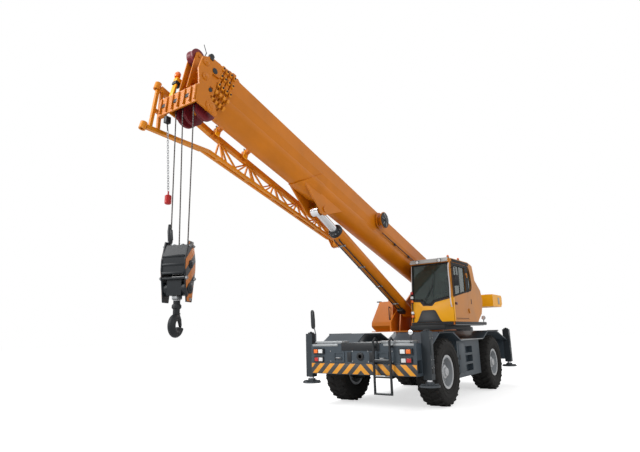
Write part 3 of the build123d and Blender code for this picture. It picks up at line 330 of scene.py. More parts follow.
# the boom's own frame: x along it from its pivot, z upward square to it
along_boom = Matrix.Translation(boom_pivot) @ Matrix.Rotation(-boom_rise, 4, "Y")
black = enamel("dark_steel", (0.018, 0.02, 0.023), roughness=0.5)
steel = enamel("bare_steel", (0.32, 0.33, 0.34), roughness=0.35, bump=0.08, coat=0)
steel.node_tree.nodes["Principled BSDF"].inputs["Metallic"].default_value = 0.8
pipe_y, pipe_v = 0.298, -0.03
parts = [chunk(black, (u, 0.287, pipe_v), (0.07, 0.025, 0.06), along_boom) for u in (1.5, 2.3, 3.1)]
parts.append(rod(black, (1.2, pipe_y, pipe_v), (3.8, pipe_y, pipe_v), 0.011, along_boom))
cover_bolt = [(0.03, 0), (0.03, 0.03), (0.018, 0.045)]
for u in (5.82, 7.05, 8.75):
    parts.append(chunk(steel, (u, 0.16, 0.405), (0.16, 0.05, 0.03), along_boom))
    parts.append(turned(black, (u, 0.16, 0.418), UP, cover_bolt, along_boom, 16))
lifting_eye = [(-0.07, 0), (0.07, 0), (0.05, 0.08), (0, 0.11), (-0.05, 0.08)]
for u in (0.7, 8.95):
    for y in (-0.2, 0.2):
        parts.append(sheet(orange, lifting_eye, 0.02, along_boom @ facing((u, y, 0.39), AHEAD, UP)))
gather("boom_fittings", parts, "boom")

# ---------------------------------------------------------------- cable reel cover
# Pressed black cover of the cable reel that measures the boom's length, bolted in front of the
# reel's disc, with six bright steel spokes.
reel_u, reel_v = 3.99, 0.195
reel_rings = [(0.17, 0), (0.185, 0.01), (0.185, 0.02), (0.15, 0.03), (0.06, 0.032), (0.05, 0.055),
              (0.03, 0.06)]
parts = [turned(black, (reel_u, 0.43, reel_v), LEFT, reel_rings, along_boom, 40)]
for spoke in range(6):
    across, upward = math.cos(math.radians(60 * spoke)), math.sin(math.radians(60 * spoke))
    parts.append(rod(steel, (reel_u + 0.05 * across, 0.468, reel_v + 0.05 * upward),
                     (reel_u + 0.16 * across, 0.462, reel_v + 0.16 * upward), 0.008, along_boom))
gather("cable_reel_cover", parts, "boom")

# ---------------------------------------------------------------- wear-pad adjusters
# Plates and hexagon bolts round the four collars at the boom's mouth, which press the wear pads on
# the section inside. The plates are a lighter orange than the boom as a painted highlight, with black bolts;
# each row rides on its section.
# The plates' lighter orange is a painted highlight on the boom's orange.
adjuster_highlight_orange = enamel("adjuster_painted_highlight", (0.78, 0.27, 0.008))
pad_bolt = [(0.016, 0), (0.016, 0.016), (0.01, 0.02)]
first_row, row_step = 9.098, 0.085
first_top, top_step = 0.438, 0.021
for index, body in enumerate(("boom", "section_2", "section_3", "section_4")):
    u = first_row + row_step * index
    collar_top = first_top - top_step * index
    parts = []
    for v in (0.32, 0.16, -0.02):
        parts.append(chunk(adjuster_highlight_orange, (u, 0.312, v), (0.05, 0.03, 0.085), along_boom))
        parts.append(turned(black, (u, 0.326, v), LEFT, pad_bolt, along_boom, 6))
        parts.append(chunk(adjuster_highlight_orange, (u, -0.312, v), (0.05, 0.03, 0.085), along_boom))
    for y in (-0.2, 0.0, 0.2):
        parts.append(chunk(adjuster_highlight_orange, (u, y, collar_top + 0.012), (0.05, 0.1, 0.035), along_boom))
        parts.append(turned(black, (u, y, collar_top + 0.028), UP, pad_bolt, along_boom, 6))
    # lower plate: height, side, lean in degrees
    for v, y, lean in ((-0.16, 0.296, 0), (-0.28, 0.235, -25)):
        parts.append(chunk(adjuster_highlight_orange, (u, y, v), (0.045, 0.05, 0.07), along_boom, turn=(lean, 0, 0)))
    gather(f"collar_adjusters_{index + 1}", parts, body)


# ---------------------------------------------------------------- boom head
# Welded head in the boom's orange with maroon nylon sheaves. Its greased pins end in stepped round
# covers, and black plugs close the bores in its left plate.
def stepped(radius, steps):
    """Rings of a round cover or nut: each step is a share of its radius, and a rise."""
    return [(radius * share, rise) for share, rise in steps]


maroon = enamel("sheave_maroon", (0.16, 0.012, 0.02), roughness=0.35)
finish_nodes(maroon, "sheave_maroon", "head_sheaves")
head_u = 9.385
head = along_boom @ shifted(head_u, 0, 0)
cover_steps = ((1.25, 0), (1.25, 0.012), (1, 0.014), (1, 0.018), (0.8, 0.024), (0.55, 0.024),
               (0.5, 0.034), (0.3, 0.038))
# cover or plug: place along and up the head, radius
sheave_pin = (0.015, -0.495, 0.075)
upper_pins = ((0.255, -0.09, 0.05), (0.315, 0.15, 0.05))
parts = []
for side, covers in ((-1, (sheave_pin,)), (1, (sheave_pin, *upper_pins))):
    for u, v, radius in covers:
        parts.append(turned(orange, (u, side * 0.33, v), (0, side, 0), stepped(radius, cover_steps), head))
for u, v, radius in ((0.255, -0.09, 0.03), (0.315, 0.15, 0.03), (0.12, 0.13, 0.05), (0.1, -0.24, 0.035)):
    plug = [(radius, 0), (radius, 0.006), (radius * 0.7, 0.008)]
    parts.append(turned(black, (u, 0.331, v), LEFT, plug, head, 20))
gather("head_pin_covers", parts, "section_4")

# ---------------------------------------------------------------- lamp and aerial on the head
# An amber warning lamp on a yellow post, a whip aerial, a round wind sensor and black junction
# boxes: bought parts, bolted to the head's plates on small brackets.
yellow = enamel("cab_yellow", (0.95, 0.43, 0.006), shade=0.92)
amber_lens = enamel("amber_lens", (0.85, 0.16, 0.005), shade=0.9, roughness=0.15, bump=0.01, coat=0.8)
sensor_rings = [(0.045, 0), (0.05, 0.02), (0.05, 0.09), (0.03, 0.12)]
lamp_rings = [(0.045, 0), (0.052, 0.03), (0.05, 0.07), (0.03, 0.1)]
parts = [rod(black, (0.2, 0.02, 0.42), (0.17, 0.02, 0.62), 0.008, head),
         rod(black, (0.17, 0.02, 0.61), (0.26, 0.02, 0.72), 0.006, head),
         turned(black, (0.235, 0.3, 0.26), UP, sensor_rings, head, 20),
         turned(amber_lens, (0.325, -0.33, 0.10), UP, lamp_rings, head, 20),
         rod(black, (0.29, -0.33, -0.03), (0.28, -0.3, -0.3), 0.012, head)]
# post or box: paint, place and size in the head's frame
for paint, place, size in (
    (yellow, (0.29, -0.33, 0.05), (0.11, 0.09, 0.07)),
    (yellow, (0.315, -0.33, -0.16), (0.03, 0.09, 0.26)),
    (black, (0.29, -0.33, -0.02), (0.12, 0.1, 0.06)),
    (black, (0.16, 0.16, 0.22), (0.12, 0.1, 0.08)),
    (black, (0.10, -0.2, 0.36), (0.16, 0.12, 0.05)),
):
    parts.append(chunk(paint, place, size, head))
gather("head_lamp_and_aerial", parts, "section_4")


# ---------------------------------------------------------------- head guard
# Pressed ribs along the plate guard across the head's front, and thin black sheets in the shape of its slots,
# painted shade for the dark openings. The guard is folded sheet steel in the boom's orange, with its ribs
# welded on.
def oblong(near, far, low, high):
    """The outline of a rectangle between two places across and two up."""
    return [(near, low), (far, low), (far, high), (near, high)]


guard_face = head @ facing((0.291, 0, -0.44), LEFT, (-0.038, 0, -0.29))
parts = []
for y in (-0.50, -0.36, -0.22, -0.08, 0.06, 0.2, 0.31):
    parts.append(sheet(orange, oblong(y - 0.012, y + 0.012, -0.13, 0.13), 0.03,
                       guard_face @ shifted(0, 0, -0.052)))
# Thin black sheets in the slots' shape: painted shade for the openings.
for y in (-0.43, -0.15, 0.13):
    slot_shade = [(y - 0.045, -0.03), (y + 0.045, -0.03), (y + 0.05, 0), (y + 0.045, 0.03), (y - 0.045, 0.03),
            (y - 0.05, 0)]
    parts.append(sheet(black, slot_shade, 0.006, guard_face @ shifted(0, 0, -0.036)))
gather("head_guard_ribs", parts, "section_4")

# ---------------------------------------------------------------- hoist limit switch
# A black switch box under the head's right side, with a plated chain down to a red cast weight.
# Chain and weight hang with the rope falls, so they stay upright as the boom rises.
red = enamel("weight_red", (0.42, 0.012, 0.01), roughness=0.45)
chain_x = 5.872
chain_top, chain_foot = Vector((chain_x, -0.37, 4.78)), Vector((chain_x, -0.285, 3.78))
parts = [chunk(black, (chain_x, -0.396, 4.97), (0.09, 0.07, 0.11)),
         rod(black, (chain_x, -0.396, 4.92), chain_top, 0.01)]
gather("limit_switch", parts, "section_4")
clear_selection()
bpy.ops.mesh.primitive_torus_add(major_radius=0.016, minor_radius=0.004, major_segments=12,
                                 minor_segments=6)
link = bpy.context.object
link.scale = (1, 1.7, 1)
bpy.ops.object.transform_apply()
link.data.materials.append(steel)
link_count = 24
upended = Matrix.Rotation(math.radians(90), 4, "X")
parts = []
for index in range(link_count):
    place = chain_top.lerp(chain_foot, (index + 0.5) / link_count)
    quarter = Matrix.Rotation(math.radians(90 * (index % 2)), 4, "Z")
    parts.append(again(link, Matrix.Translation(place) @ quarter @ upended))
bpy.data.objects.remove(link)
weight_rings = [(0.035, 0), (0.05, 0.012), (0.05, 0.128), (0.035, 0.14), (0.012, 0.15), (0.012, 0.2)]
parts.append(turned(red, (chain_x, -0.28, 3.58), UP, weight_rings, sides=20))
gather("limit_weight", parts, "fall_line")


# ---------------------------------------------------------------- hoist ropes
# Three falls of greased wire rope with its lay showing, from the head's sheaves down to the block.
def lay(name, colour, pitch):
    """Twisted wire: grooves that run slantwise round the rope, darkened in colour as painted shade."""
    wire = bpy.data.materials.new(name)
    wire.use_nodes = True
    nodes, links = wire.node_tree.nodes, wire.node_tree.links
    shader = nodes["Principled BSDF"]
    shader.inputs["Metallic"].default_value = 0.6
    shader.inputs["Roughness"].default_value = 0.5
    place = nodes.new("ShaderNodeTexCoord")
    bands = nodes.new("ShaderNodeTexWave")
    bands.bands_direction = "DIAGONAL"
    bands.inputs["Scale"].default_value = pitch
    bands.inputs["Distortion"].default_value = 0.6
    links.new(place.outputs["Object"], bands.inputs["Vector"])
    # The grooves are darkened in colour as painted shade.
    groove_shade = nodes.new("ShaderNodeMix")
    groove_shade.data_type = "RGBA"
    groove_shade.inputs["A"].default_value = (*[c * 0.35 for c in colour], 1)
    groove_shade.inputs["B"].default_value = (*colour, 1)
    links.new(bands.outputs["Fac"], groove_shade.inputs["Factor"])
    links.new(groove_shade.outputs["Result"], shader.inputs["Base Color"])
    relief = nodes.new("ShaderNodeBump")
    relief.inputs["Strength"].default_value = 0.7
    relief.inputs["Distance"].default_value = 0.004
    links.new(bands.outputs["Fac"], relief.inputs["Height"])
    links.new(relief.outputs["Normal"], shader.inputs["Normal"])
    return wire


wire = lay("wire_rope", (0.10, 0.09, 0.085), 14)
finish_nodes(wire, "wire_rope", "hoist_ropes")
fall_x, fall_top, fall_end = 5.8518, 5.0731, 2.9156
rope_radius, rope_pieces = 0.0095, 20
block_turn = math.radians(22)
block_frame = shifted(5.852, 0, 0) @ Matrix.Rotation(block_turn, 4, "Z")


def block_end(y):
    """Where a fall meets the turned block, y to the left of the block's middle."""
    return Vector((fall_x - y * math.sin(block_turn), y * math.cos(block_turn), fall_end))


wedge_y = -0.135
# fall: its side at the head, its side on the block
for index, (head_y, block_y) in enumerate(((-0.215, wedge_y), (-0.055, 0.0), (0.2, 0.135))):
    top, foot = Vector((fall_x, head_y, fall_top)), block_end(block_y)
    piece = (top - foot).length / rope_pieces
    rings = [(0.0092, 0), (rope_radius, 0.01)]
    rings += [(rope_radius, piece * (step + 1)) for step in range(rope_pieces)]
    fall = turned(wire, foot, top - foot, rings, sides=12)
    fall.name = f"rope_fall_{index + 1}"
    clear_selection()
    fall.select_set(True)
    bpy.context.view_layer.objects.active = fall
    bpy.ops.object.shade_smooth_by_angle(angle=math.radians(50))
    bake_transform(fall)
    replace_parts(fall, "hoist_ropes")

# ---------------------------------------------------------------- rope wedge
# The rope's dead end: a forged black wedge socket with a steel pin, which holds the right-hand fall
# on top of the block.
wedge_foot = block_end(wedge_y)
parts = [turned(black, wedge_foot + Vector((0, -0.01, 0.03)), (0, -0.12, 1),
                [(0.02, 0), (0.035, 0.04), (0.035, 0.2), (0.02, 0.3)], sides=12),
         chunk(black, wedge_foot + Vector((0, -0.02, 0.16)), (0.03, 0.09, 0.16), turn=(8, 0, 0)),
         rod(steel, wedge_foot + Vector((-0.04, -0.02, 0.06)), wedge_foot + Vector((0.04, -0.02, 0.06)),
             0.014)]
gather("rope_wedge", parts, "hook_block")


# ---------------------------------------------------------------- hook block
# Black painted plate block with slanting hazard bands on both cheeks, its sheaves behind slotted
# guards. Pins and tie bolts with plated nuts hold it together.
def stripes(name, first, second, run, width, mirrored=False, phase=0.0):
    """Slanting painted bands across a face; run is the direction square to the bands."""
    paint = bpy.data.materials.new(name)
    paint.use_nodes = True
    nodes, links = paint.node_tree.nodes, paint.node_tree.links
    shader = nodes["Principled BSDF"]
    shader.inputs["Roughness"].default_value = 0.45
    shader.inputs["Coat Weight"].default_value = 0.2
    place = nodes.new("ShaderNodeTexCoord")
    vector = place.outputs["Object"]
    if mirrored:
        fold = nodes.new("ShaderNodeVectorMath")
        fold.operation = "ABSOLUTE"
        links.new(vector, fold.inputs[0])
        vector = fold.outputs["Vector"]
    across = nodes.new("ShaderNodeVectorMath")
    across.operation = "DOT_PRODUCT"
    across.inputs[1].default_value = Vector(run).normalized() / width
    links.new(vector, across.inputs[0])
    start = nodes.new("ShaderNodeMath")
    start.inputs[1].default_value = phase
    links.new(across.outputs["Value"], start.inputs[0])
    cycle = nodes.new("ShaderNodeMath")
    cycle.operation = "FRACT"
    links.new(start.outputs[0], cycle.inputs[0])
    band = nodes.new("ShaderNodeMath")
    band.operation = "GREATER_THAN"
    band.inputs[1].default_value = 0.5
    links.new(cycle.outputs[0], band.inputs[0])
    wear = nodes.new("ShaderNodeTexNoise")
    wear.inputs["Scale"].default_value = 9
    wear.inputs["Detail"].default_value = 8
    links.new(place.outputs["Object"], wear.inputs["Vector"])
    mix = nodes.new("ShaderNodeMix")
    mix.data_type = "RGBA"
    mix.inputs["A"].default_value = (*first, 1)
    mix.inputs["B"].default_value = (*second, 1)
    links.new(band.outputs[0], mix.inputs["Factor"])
    dull = nodes.new("ShaderNodeMix")
    dull.data_type = "RGBA"
    dull.blend_type = "MULTIPLY"
    dull.inputs["Factor"].default_value = 0.25
    links.new(mix.outputs["Result"], dull.inputs["A"])
    links.new(wear.outputs["Color"], dull.inputs["B"])
    links.new(dull.outputs["Result"], shader.inputs["Base Color"])
    return paint


block_black = enamel("block_black", (0.012, 0.015, 0.018), roughness=0.4, coat=0.05)
finish_nodes(block_black, "block_black", "hook_block")
cheek_bands = stripes("cheek_bands", (0.02, 0.02, 0.022), (0.48, 0.14, 0.012), (1, 0, 0.9), 0.2)
cheek = [(-0.066, 2.96), (0.066, 2.96), (0.139, 2.7), (0.142, 2.56), (0.068, 2.12), (-0.068, 2.12),
         (-0.142, 2.56), (-0.139, 2.7)]
parts = []
for side in (1, -1):
    cheek_face = block_frame @ facing((0, side * 0.1885, 0), (-side, 0, 0), UP)
    parts.append(sheet(cheek_bands, [(-side * x, z) for x, z in cheek], 0.006, cheek_face))
gather("block_cheek_bands", parts, "hook_block")
end_steps = ((1, 0), (1, 0.014), (0.8, 0.02), (0.5, 0.02), (0.45, 0.03), (0.2, 0.032))
# material and sides of the round pin ends and of the nuts; for each its place on the cheek and radius
pin_ends = (block_black, 24, ((0, 2.64, 0.06), (0, 2.3, 0.075)))
nuts = (steel, 6, ((-0.06, 2.9, 0.022), (0.06, 2.9, 0.022), (0.11, 2.44, 0.03), (-0.11, 2.44, 0.03),
                   (0, 2.15, 0.022)))
parts = []
for side in (-1, 1):
    for material, sides, places in (pin_ends, nuts):
        for x, z, radius in places:
            parts.append(turned(material, (x, side * 0.19, z), (0, side, 0), stepped(radius, end_steps),
                                block_frame, sides))
for x in (-0.142, 0.142):
    for z in (2.75, 2.63, 2.51):
        parts.append(chunk(block_black, (x, 0, z), (0.012, 0.34, 0.03), block_frame, 0.004))
for y in (-0.0675, 0.0675):
    parts.append(chunk(steel, (0, y, 2.925), (0.11, 0.05, 0.02), block_frame, 0.004))
swivel_nut = [(0.075, 0), (0.08, 0.01), (0.08, 0.05), (0.06, 0.06), (0.055, 0.075)]
parts.append(turned(steel, (0, 0, 2.207), (0, 0, -1), swivel_nut, block_frame, 6))
gather("block_bolts", parts, "hook_block")

# ---------------------------------------------------------------- hook
# Forged hook, left rough and painted black, that hangs from the crosshead. A sprung latch on a
# plated pin closes its mouth, and a collar is shrunk on its shank.
forged = enamel("forged_hook", (0.014, 0.016, 0.018), roughness=0.55, grain=25, bump=0.25, coat=0)
finish_nodes(forged, "block_black", "hook")
latch = [(-0.02, 1.985), (-0.075, 1.955), (-0.125, 1.88), (-0.142, 1.8), (-0.128, 1.765), (-0.098, 1.79),
         (-0.06, 1.86), (-0.02, 1.9)]
parts = [sheet(forged, latch, 0.032, block_frame @ facing((0, 0.016, 0), AHEAD, UP), bevel=0.006),
         rod(steel, (-0.03, -0.045, 1.955), (-0.03, 0.045, 1.955), 0.012, block_frame),
         turned(forged, (0, 0, 2.02), UP, [(0.05, 0), (0.066, 0.015), (0.066, 0.05), (0.052, 0.07)],
                block_frame)]
gather("hook_latch", parts, "hook")

# ---------------------------------------------------------------- jib tip
# Lattice jib of tubes in a lighter orange. Its tip is a fork of two yellow plates, held by pins
# with plated heads on the left.
lattice = enamel("jib_orange", (0.72, 0.25, 0.008), grain=90)
finish_nodes(lattice, "crane_orange", "jib")
tip_u, tip_y, tip_v = 4.62, -0.545, -0.3
tip_plate = [(-0.02, 0.03), (0.17, 0.03), (0.07, -0.15), (-0.1, -0.25), (-0.19, -0.22), (-0.2, -0.15)]
parts = []
for y in (-0.09, 0.062):
    plate_face = along_boom @ facing((tip_u, tip_y + y, tip_v), AHEAD, UP)
    parts.append(sheet(yellow, tip_plate, -0.012, plate_face))
for u, v in ((-0.12, -0.19), (0.05, -0.05), (-0.05, 0)):
    parts.append(turned(steel, (tip_u + u, tip_y + 0.075, tip_v + v), LEFT,
                        [(0.03, 0), (0.03, 0.012), (0.016, 0.018), (0.014, 0.028)], along_boom, 12))
gather("jib_tip_cheeks", parts, "boom")

# ---------------------------------------------------------------- jib brackets
# Yellow hooked plates on the three brackets that hold the jib beside the boom, each with a plated
# cross pin and its spring clip.
parts = []
# bracket: distance back from the head, height
for back, v in ((3.8, -0.27), (1.5, -0.226), (0.77, -0.216)):
    u = head_u - back
    parts.append(chunk(yellow, (u, -0.4, v + 0.02), (0.1, 0.03, 0.15), along_boom))
    parts.append(rod(steel, (u - 0.07, -0.42, v + 0.11), (u + 0.07, -0.42, v + 0.11), 0.014, along_boom))
    parts.append(rod(steel, (u + 0.055, -0.42, v + 0.11), (u + 0.055, -0.42, v + 0.03), 0.006, along_boom))
gather("jib_bracket_clips", parts, "boom")

# ---------------------------------------------------------------- luffing cylinder
# Painted barrel with a bolted dark gland at its mouth and two steel feed pipes in clips below it.
# The rod is hard-chromed steel.
finish_nodes(orange, "crane_orange", "luff_barrel")
chrome = enamel("rod_chrome", (0.75, 0.76, 0.78), shade=0.95, roughness=0.12, bump=0.01, coat=0)
chrome.node_tree.nodes["Principled BSDF"].inputs["Metallic"].default_value = 1.0
finish_nodes(chrome, "rod_chrome", "luff_rod")
barrel_foot = Vector((-1.728, 0, 2.13))
run = (along_boom @ Vector((6.04, 0, -0.52)) - barrel_foot).normalized()
# the cylinder's own frame: x along it from the barrel's foot pin
cylinder = Matrix.Translation(barrel_foot) @ Matrix.Rotation(-math.atan2(run.z, run.x), 4, "Y")
gland_rings = [(0.151, 0), (0.156, 0.012), (0.156, 0.072), (0.15, 0.085), (0.12, 0.086), (0.1, 0.1),
               (0.0855, 0.1)]
gland_bolt = [(0.011, 0), (0.011, 0.01), (0.007, 0.012)]
parts = [turned(black, (3.80, 0, 0), AHEAD, gland_rings, cylinder, 36)]
for index in range(12):
    around = math.radians(30 * index)
    parts.append(turned(steel, (3.885, 0.138 * math.cos(around), 0.138 * math.sin(around)), AHEAD,
                        gland_bolt, cylinder, 6))
for y in (-0.06, 0.06):
    parts.append(rod(black, (0.5, y, -0.162), (3.7, y, -0.162), 0.014, cylinder))
    parts.append(rod(black, (3.7, y, -0.162), (3.74, y, -0.13), 0.014, cylinder))
for x in (0.8, 1.7, 2.6, 3.5):
    parts.append(chunk(steel, (x, 0, -0.158), (0.04, 0.18, 0.03), cylinder))
parts.append(chunk(black, (0.42, 0, -0.17), (0.2, 0.16, 0.08), cylinder))
gather("cylinder_gland_and_pipes", parts, "luff_barrel")

# ---------------------------------------------------------------- turntable
# Welded plate turntable in orange. The boom's pivot pin and the cylinder's foot pin end in stepped
# plated heads, kept from turning by a bolted plate.
table_orange = enamel("table_orange", (0.62, 0.17, 0.006))
finish_nodes(table_orange, "crane_orange", "turntable", "hydraulic_tank")
pivot_x, pivot_z = boom_pivot[0], boom_pivot[2]
foot_x, foot_z = barrel_foot.x, barrel_foot.z
pivot_head = [(0.1, 0), (0.1, 0.02), (0.08, 0.03), (0.05, 0.03), (0.045, 0.045), (0.02, 0.05)]
foot_head = [(0.08, 0), (0.08, 0.02), (0.06, 0.03), (0.035, 0.032)]
parts = []
for side in (-1, 1):
    parts.append(turned(steel, (pivot_x, side * 0.35, pivot_z), (0, side, 0), pivot_head, sides=32))
    parts.append(turned(steel, (foot_x, side * 0.195, foot_z), (0, side, 0), foot_head, sides=28))
    parts.append(chunk(steel, (pivot_x, side * 0.342, pivot_z - 0.13), (0.2, 0.02, 0.06)))
gather("table_pins", parts, "superstructure")

# ---------------------------------------------------------------- hydraulic tank
# Folded sheet tank with a black screw cap and breather on top, two welded ribs on its sloping
# front, and a black grab bar beside them.
tank_rib = [(0, 1.93), (0.035, 1.93), (0.035, 2.36), (0, 2.4)]
cap_rings = [(0.085, 0), (0.09, 0.01), (0.09, 0.05), (0.07, 0.06), (0.03, 0.062), (0.03, 0.08),
             (0.015, 0.085)]
bar_x, bar_y = -1.40, -0.42
parts = [turned(black, (-1.728, -0.51, 2.505), UP, cap_rings),
         chunk(black, (-1.6, -0.80, 2.447), (0.12, 0.1, 0.03)),
         rod(black, (bar_x, bar_y, 1.95), (bar_x, bar_y, 2.3), 0.012)]
for y in (-0.55, -0.83):
    parts.append(sheet(table_orange, tank_rib, 0.02,
                       facing((-1.433, y, 0), LEFT, (-0.11, 0, 1)) @ shifted(0, -0.012, -0.006)))
for z in (1.97, 2.28):
    parts.append(rod(black, (bar_x - 0.06, bar_y, z), (bar_x, bar_y, z), 0.012))
gather("tank_cap_and_ribs", parts, "superstructure")

# ---------------------------------------------------------------- counterweight
# Cast slab in bright yellow. It has plated side plates, a lifting eye and a black pad at each
# end of its top, and black grips and seams on its rear face.
weight_yellow = enamel("weight_yellow", (1.0, 0.45, 0.006), shade=0.94, grain=30, bump=0.12)
finish_nodes(weight_yellow, "crane_orange", "counterweight")
eye_rings = [(0.06, 0), (0.06, 0.015), (0.03, 0.02), (0.03, 0.05), (0.045, 0.06), (0.045, 0.08)]
parts = []
for side in (-1, 1):
    parts.append(chunk(steel, (-5.40, side * 1.382, 2.51), (0.16, 0.012, 0.2)))
    parts.append(chunk(black, (-5.25, side * 1.1, 2.70), (0.16, 0.14, 0.04)))
    parts.append(turned(steel, (-5.3, side * 0.7, 2.688), UP, eye_rings, sides=20))
    parts.append(chunk(black, (-5.785, side * 0.9, 2.5), (0.02, 0.24, 0.1)))
    parts.append(chunk(black, (-5.78, side * 0.4, 2.51), (0.012, 0.012, 0.2)))
gather("counterweight_fittings", parts, "superstructure")


# ---------------------------------------------------------------- hydraulic hoses
# Black rubber hoses that run in loops from the platform to the boom's foot, four side by side, and
# three more beside the cab. They are clamped at both ends.
def bent(material, places, radius, at=Matrix()):
    """A smooth bent tube through places, made from a path and turned to a mesh."""
    clear_selection()
    line = bpy.data.curves.new("bend", "CURVE")
    line.dimensions = "3D"
    line.bevel_depth = radius
    line.bevel_resolution = 3
    line.resolution_u = 8
    track = line.splines.new("BEZIER")
    track.bezier_points.add(len(places) - 1)
    for point, place in zip(track.bezier_points, places):
        point.co = place
        point.handle_left_type = point.handle_right_type = "AUTO"
    part = bpy.data.objects.new("bend", line)
    bpy.context.collection.objects.link(part)
    part.select_set(True)
    bpy.context.view_layer.objects.active = part
    bpy.ops.object.convert(target="MESH")
    part = bpy.context.object
    part.data.transform(at)
    part.data.materials.clear()
    part.data.materials.append(material)
    return part


hose = enamel("hose_rubber", (0.012, 0.012, 0.013), roughness=0.6, grain=120, bump=0.1, coat=0)
parts = []
for index in range(4):
    y = -0.13 + 0.085 * index
    loop = [(-2.6, y, 1.68), (-2.7, y, 1.95), (-3.0, y * 1.1, 2.2), (-3.35, y, 2.42), (-3.75, y, 2.3)]
    parts.append(bent(hose, loop, 0.018))
for index in range(3):
    y = 0.34 + 0.03 * index
    loop = [(-1.75 - 0.1 * index, y, 1.66), (-1.6, y + 0.02, 1.72), (-1.4, y + 0.05, 1.7),
            (-1.22, y + 0.05, 1.78)]
    parts.append(bent(hose, loop, 0.015))
gather("platform_hoses", parts, "superstructure")

# ---------------------------------------------------------------- cab platform
# Black skirt plates round the platform under the cab, with a bright lower lip along the left side,
# a rounded rear corner and a work lamp on a short post there.
clear_lens = enamel("clear_lens", (0.78, 0.8, 0.8), shade=0.95, roughness=0.12, bump=0.01, coat=0.8)
skirt = enamel("platform_black", (0.02, 0.022, 0.024), roughness=0.6)
parts = []
# skirt plate: paint, place, size
for paint, place, size in (
    (skirt, (-2.44, 1.437, 1.815), (2.46, 0.02, 0.07)),
    (skirt, (-1.176, 0.86, 1.815), (0.02, 1.08, 0.07)),
    (skirt, (-2.088, 1.197, 1.722), (1.88, 0.014, 0.116)),
    (skirt, (-1.14, 0.745, 1.722), (0.014, 0.9, 0.116)),
    (skirt, (-2.3, 1.3, 1.766), (2.3, 0.26, 0.02)),
    (steel, (-2.44, 1.442, 1.772), (2.46, 0.018, 0.014)),
):
    parts.append(chunk(paint, place, size))
parts.append(turned(skirt, (-3.69, 1.19, 1.782), UP, [(0.23, 0), (0.25, 0.01), (0.25, 0.055), (0.23, 0.066)],
                    sides=36))
lamp_y, lamp_z = 1.38, 1.97
parts.append(rod(black, (-3.66, lamp_y, 1.84), (-3.66, lamp_y, 1.93), 0.012))
parts.append(turned(black, (-3.68, lamp_y, lamp_z), AHEAD,
                    [(0.03, 0), (0.055, 0.01), (0.055, 0.03), (0.05, 0.035)]))
parts.append(turned(clear_lens, (-3.65, lamp_y, lamp_z), AHEAD, [(0.05, 0), (0.045, 0.008), (0.02, 0.012)]))
gather("platform_trim", parts, "superstructure")

# ---------------------------------------------------------------- winches
# Two cast drums in dark steel, one behind the other between the turntable's cheeks. Both are wound
# with the wire rope, whose laps lie close together.
drum = enamel("winch_steel", (0.09, 0.085, 0.08), roughness=0.45)
finish_nodes(drum, "dark_steel", "winches")
lap_count, lap_width, lap_rise = 22, 0.022, 0.014
parts = []
for x, z, radius in ((-4.148, 2.23, 0.194), (-4.608, 2.33, 0.174)):
    rings = []
    for lap in range(lap_count):
        start = lap_width * lap
        rings += [(radius, start), (radius + lap_rise, start + 0.006), (radius + lap_rise, start + 0.014),
                  (radius, start + 0.02)]
    parts.append(turned(wire, (x, -0.24, z), LEFT, rings, sides=32))
gather("winch_rope_laps", parts, "superstructure")

# ---------------------------------------------------------------- cab
# Pressed steel cab with tinted laminated glass, a fabric seat and moulded plastic console; its shell and door
# are painted tan orange, a darker copy of the cab's yellow as painted shade. The glass is bonded in black
# rubber.
cab = shifted(-2.188, 0, 0)
# The shell and the door are a darker tan copy of the cab's yellow: painted shade on the cab.
cab_shade_tan = enamel("cab_yellow_in_painted_shade", (0.60, 0.22, 0.02))
finish_nodes(cab_shade_tan, "cab_yellow", "cab_shell")
door_shade_tan = enamel("cab_door_yellow_in_painted_shade", (0.58, 0.21, 0.022))
finish_nodes(door_shade_tan, "cab_yellow", "cab_door")
glass = bpy.data.materials.new("cab_glazing")
glass.use_nodes = True
nodes, links = glass.node_tree.nodes, glass.node_tree.links
shader = nodes["Principled BSDF"]
shader.inputs["Base Color"].default_value = (0.10, 0.16, 0.145, 1)
shader.inputs["Transmission Weight"].default_value = 0.8
shader.inputs["IOR"].default_value = 1.45
glass_place = nodes.new("ShaderNodeTexCoord")
glass_film = nodes.new("ShaderNodeTexNoise")
glass_film.inputs["Scale"].default_value = 3
glass_level = nodes.new("ShaderNodeMapRange")
glass_level.inputs["To Min"].default_value = 0.01
glass_level.inputs["To Max"].default_value = 0.07
links.new(glass_place.outputs["Object"], glass_film.inputs["Vector"])
links.new(glass_film.outputs["Fac"], glass_level.inputs["Value"])
links.new(glass_level.outputs["Result"], shader.inputs["Roughness"])
finish_nodes(glass, "cab_glazing", "cab_glass", "door_glass")
fabric = enamel("seat_fabric", (0.03, 0.032, 0.036), roughness=0.9, grain=220, bump=0.3, coat=0)
finish_nodes(fabric, "seat_fabric", "operator_seat")
plastic = enamel("cab_plastic", (0.035, 0.037, 0.04), roughness=0.6, grain=160, bump=0.12, coat=0)
finish_nodes(plastic, "cab_plastic", "cab_console")


# ---------------------------------------------------------------- window seals
# Extruded black rubber borders round the windscreen and the left rear window, and black strips on
# the pillars and the roof edge beside the door. They are pressed onto the panels' edges.
def seals(face, strips):
    """Strips of seal on a face; each has an outline, a depth and the width of its border, if any."""
    return [sheet(rubber_seal, outline, depth, face, rim=rim) for outline, depth, rim in strips]


rubber_seal = enamel("window_seal", (0.012, 0.012, 0.013), roughness=0.65, grain=120, bump=0.05, coat=0)
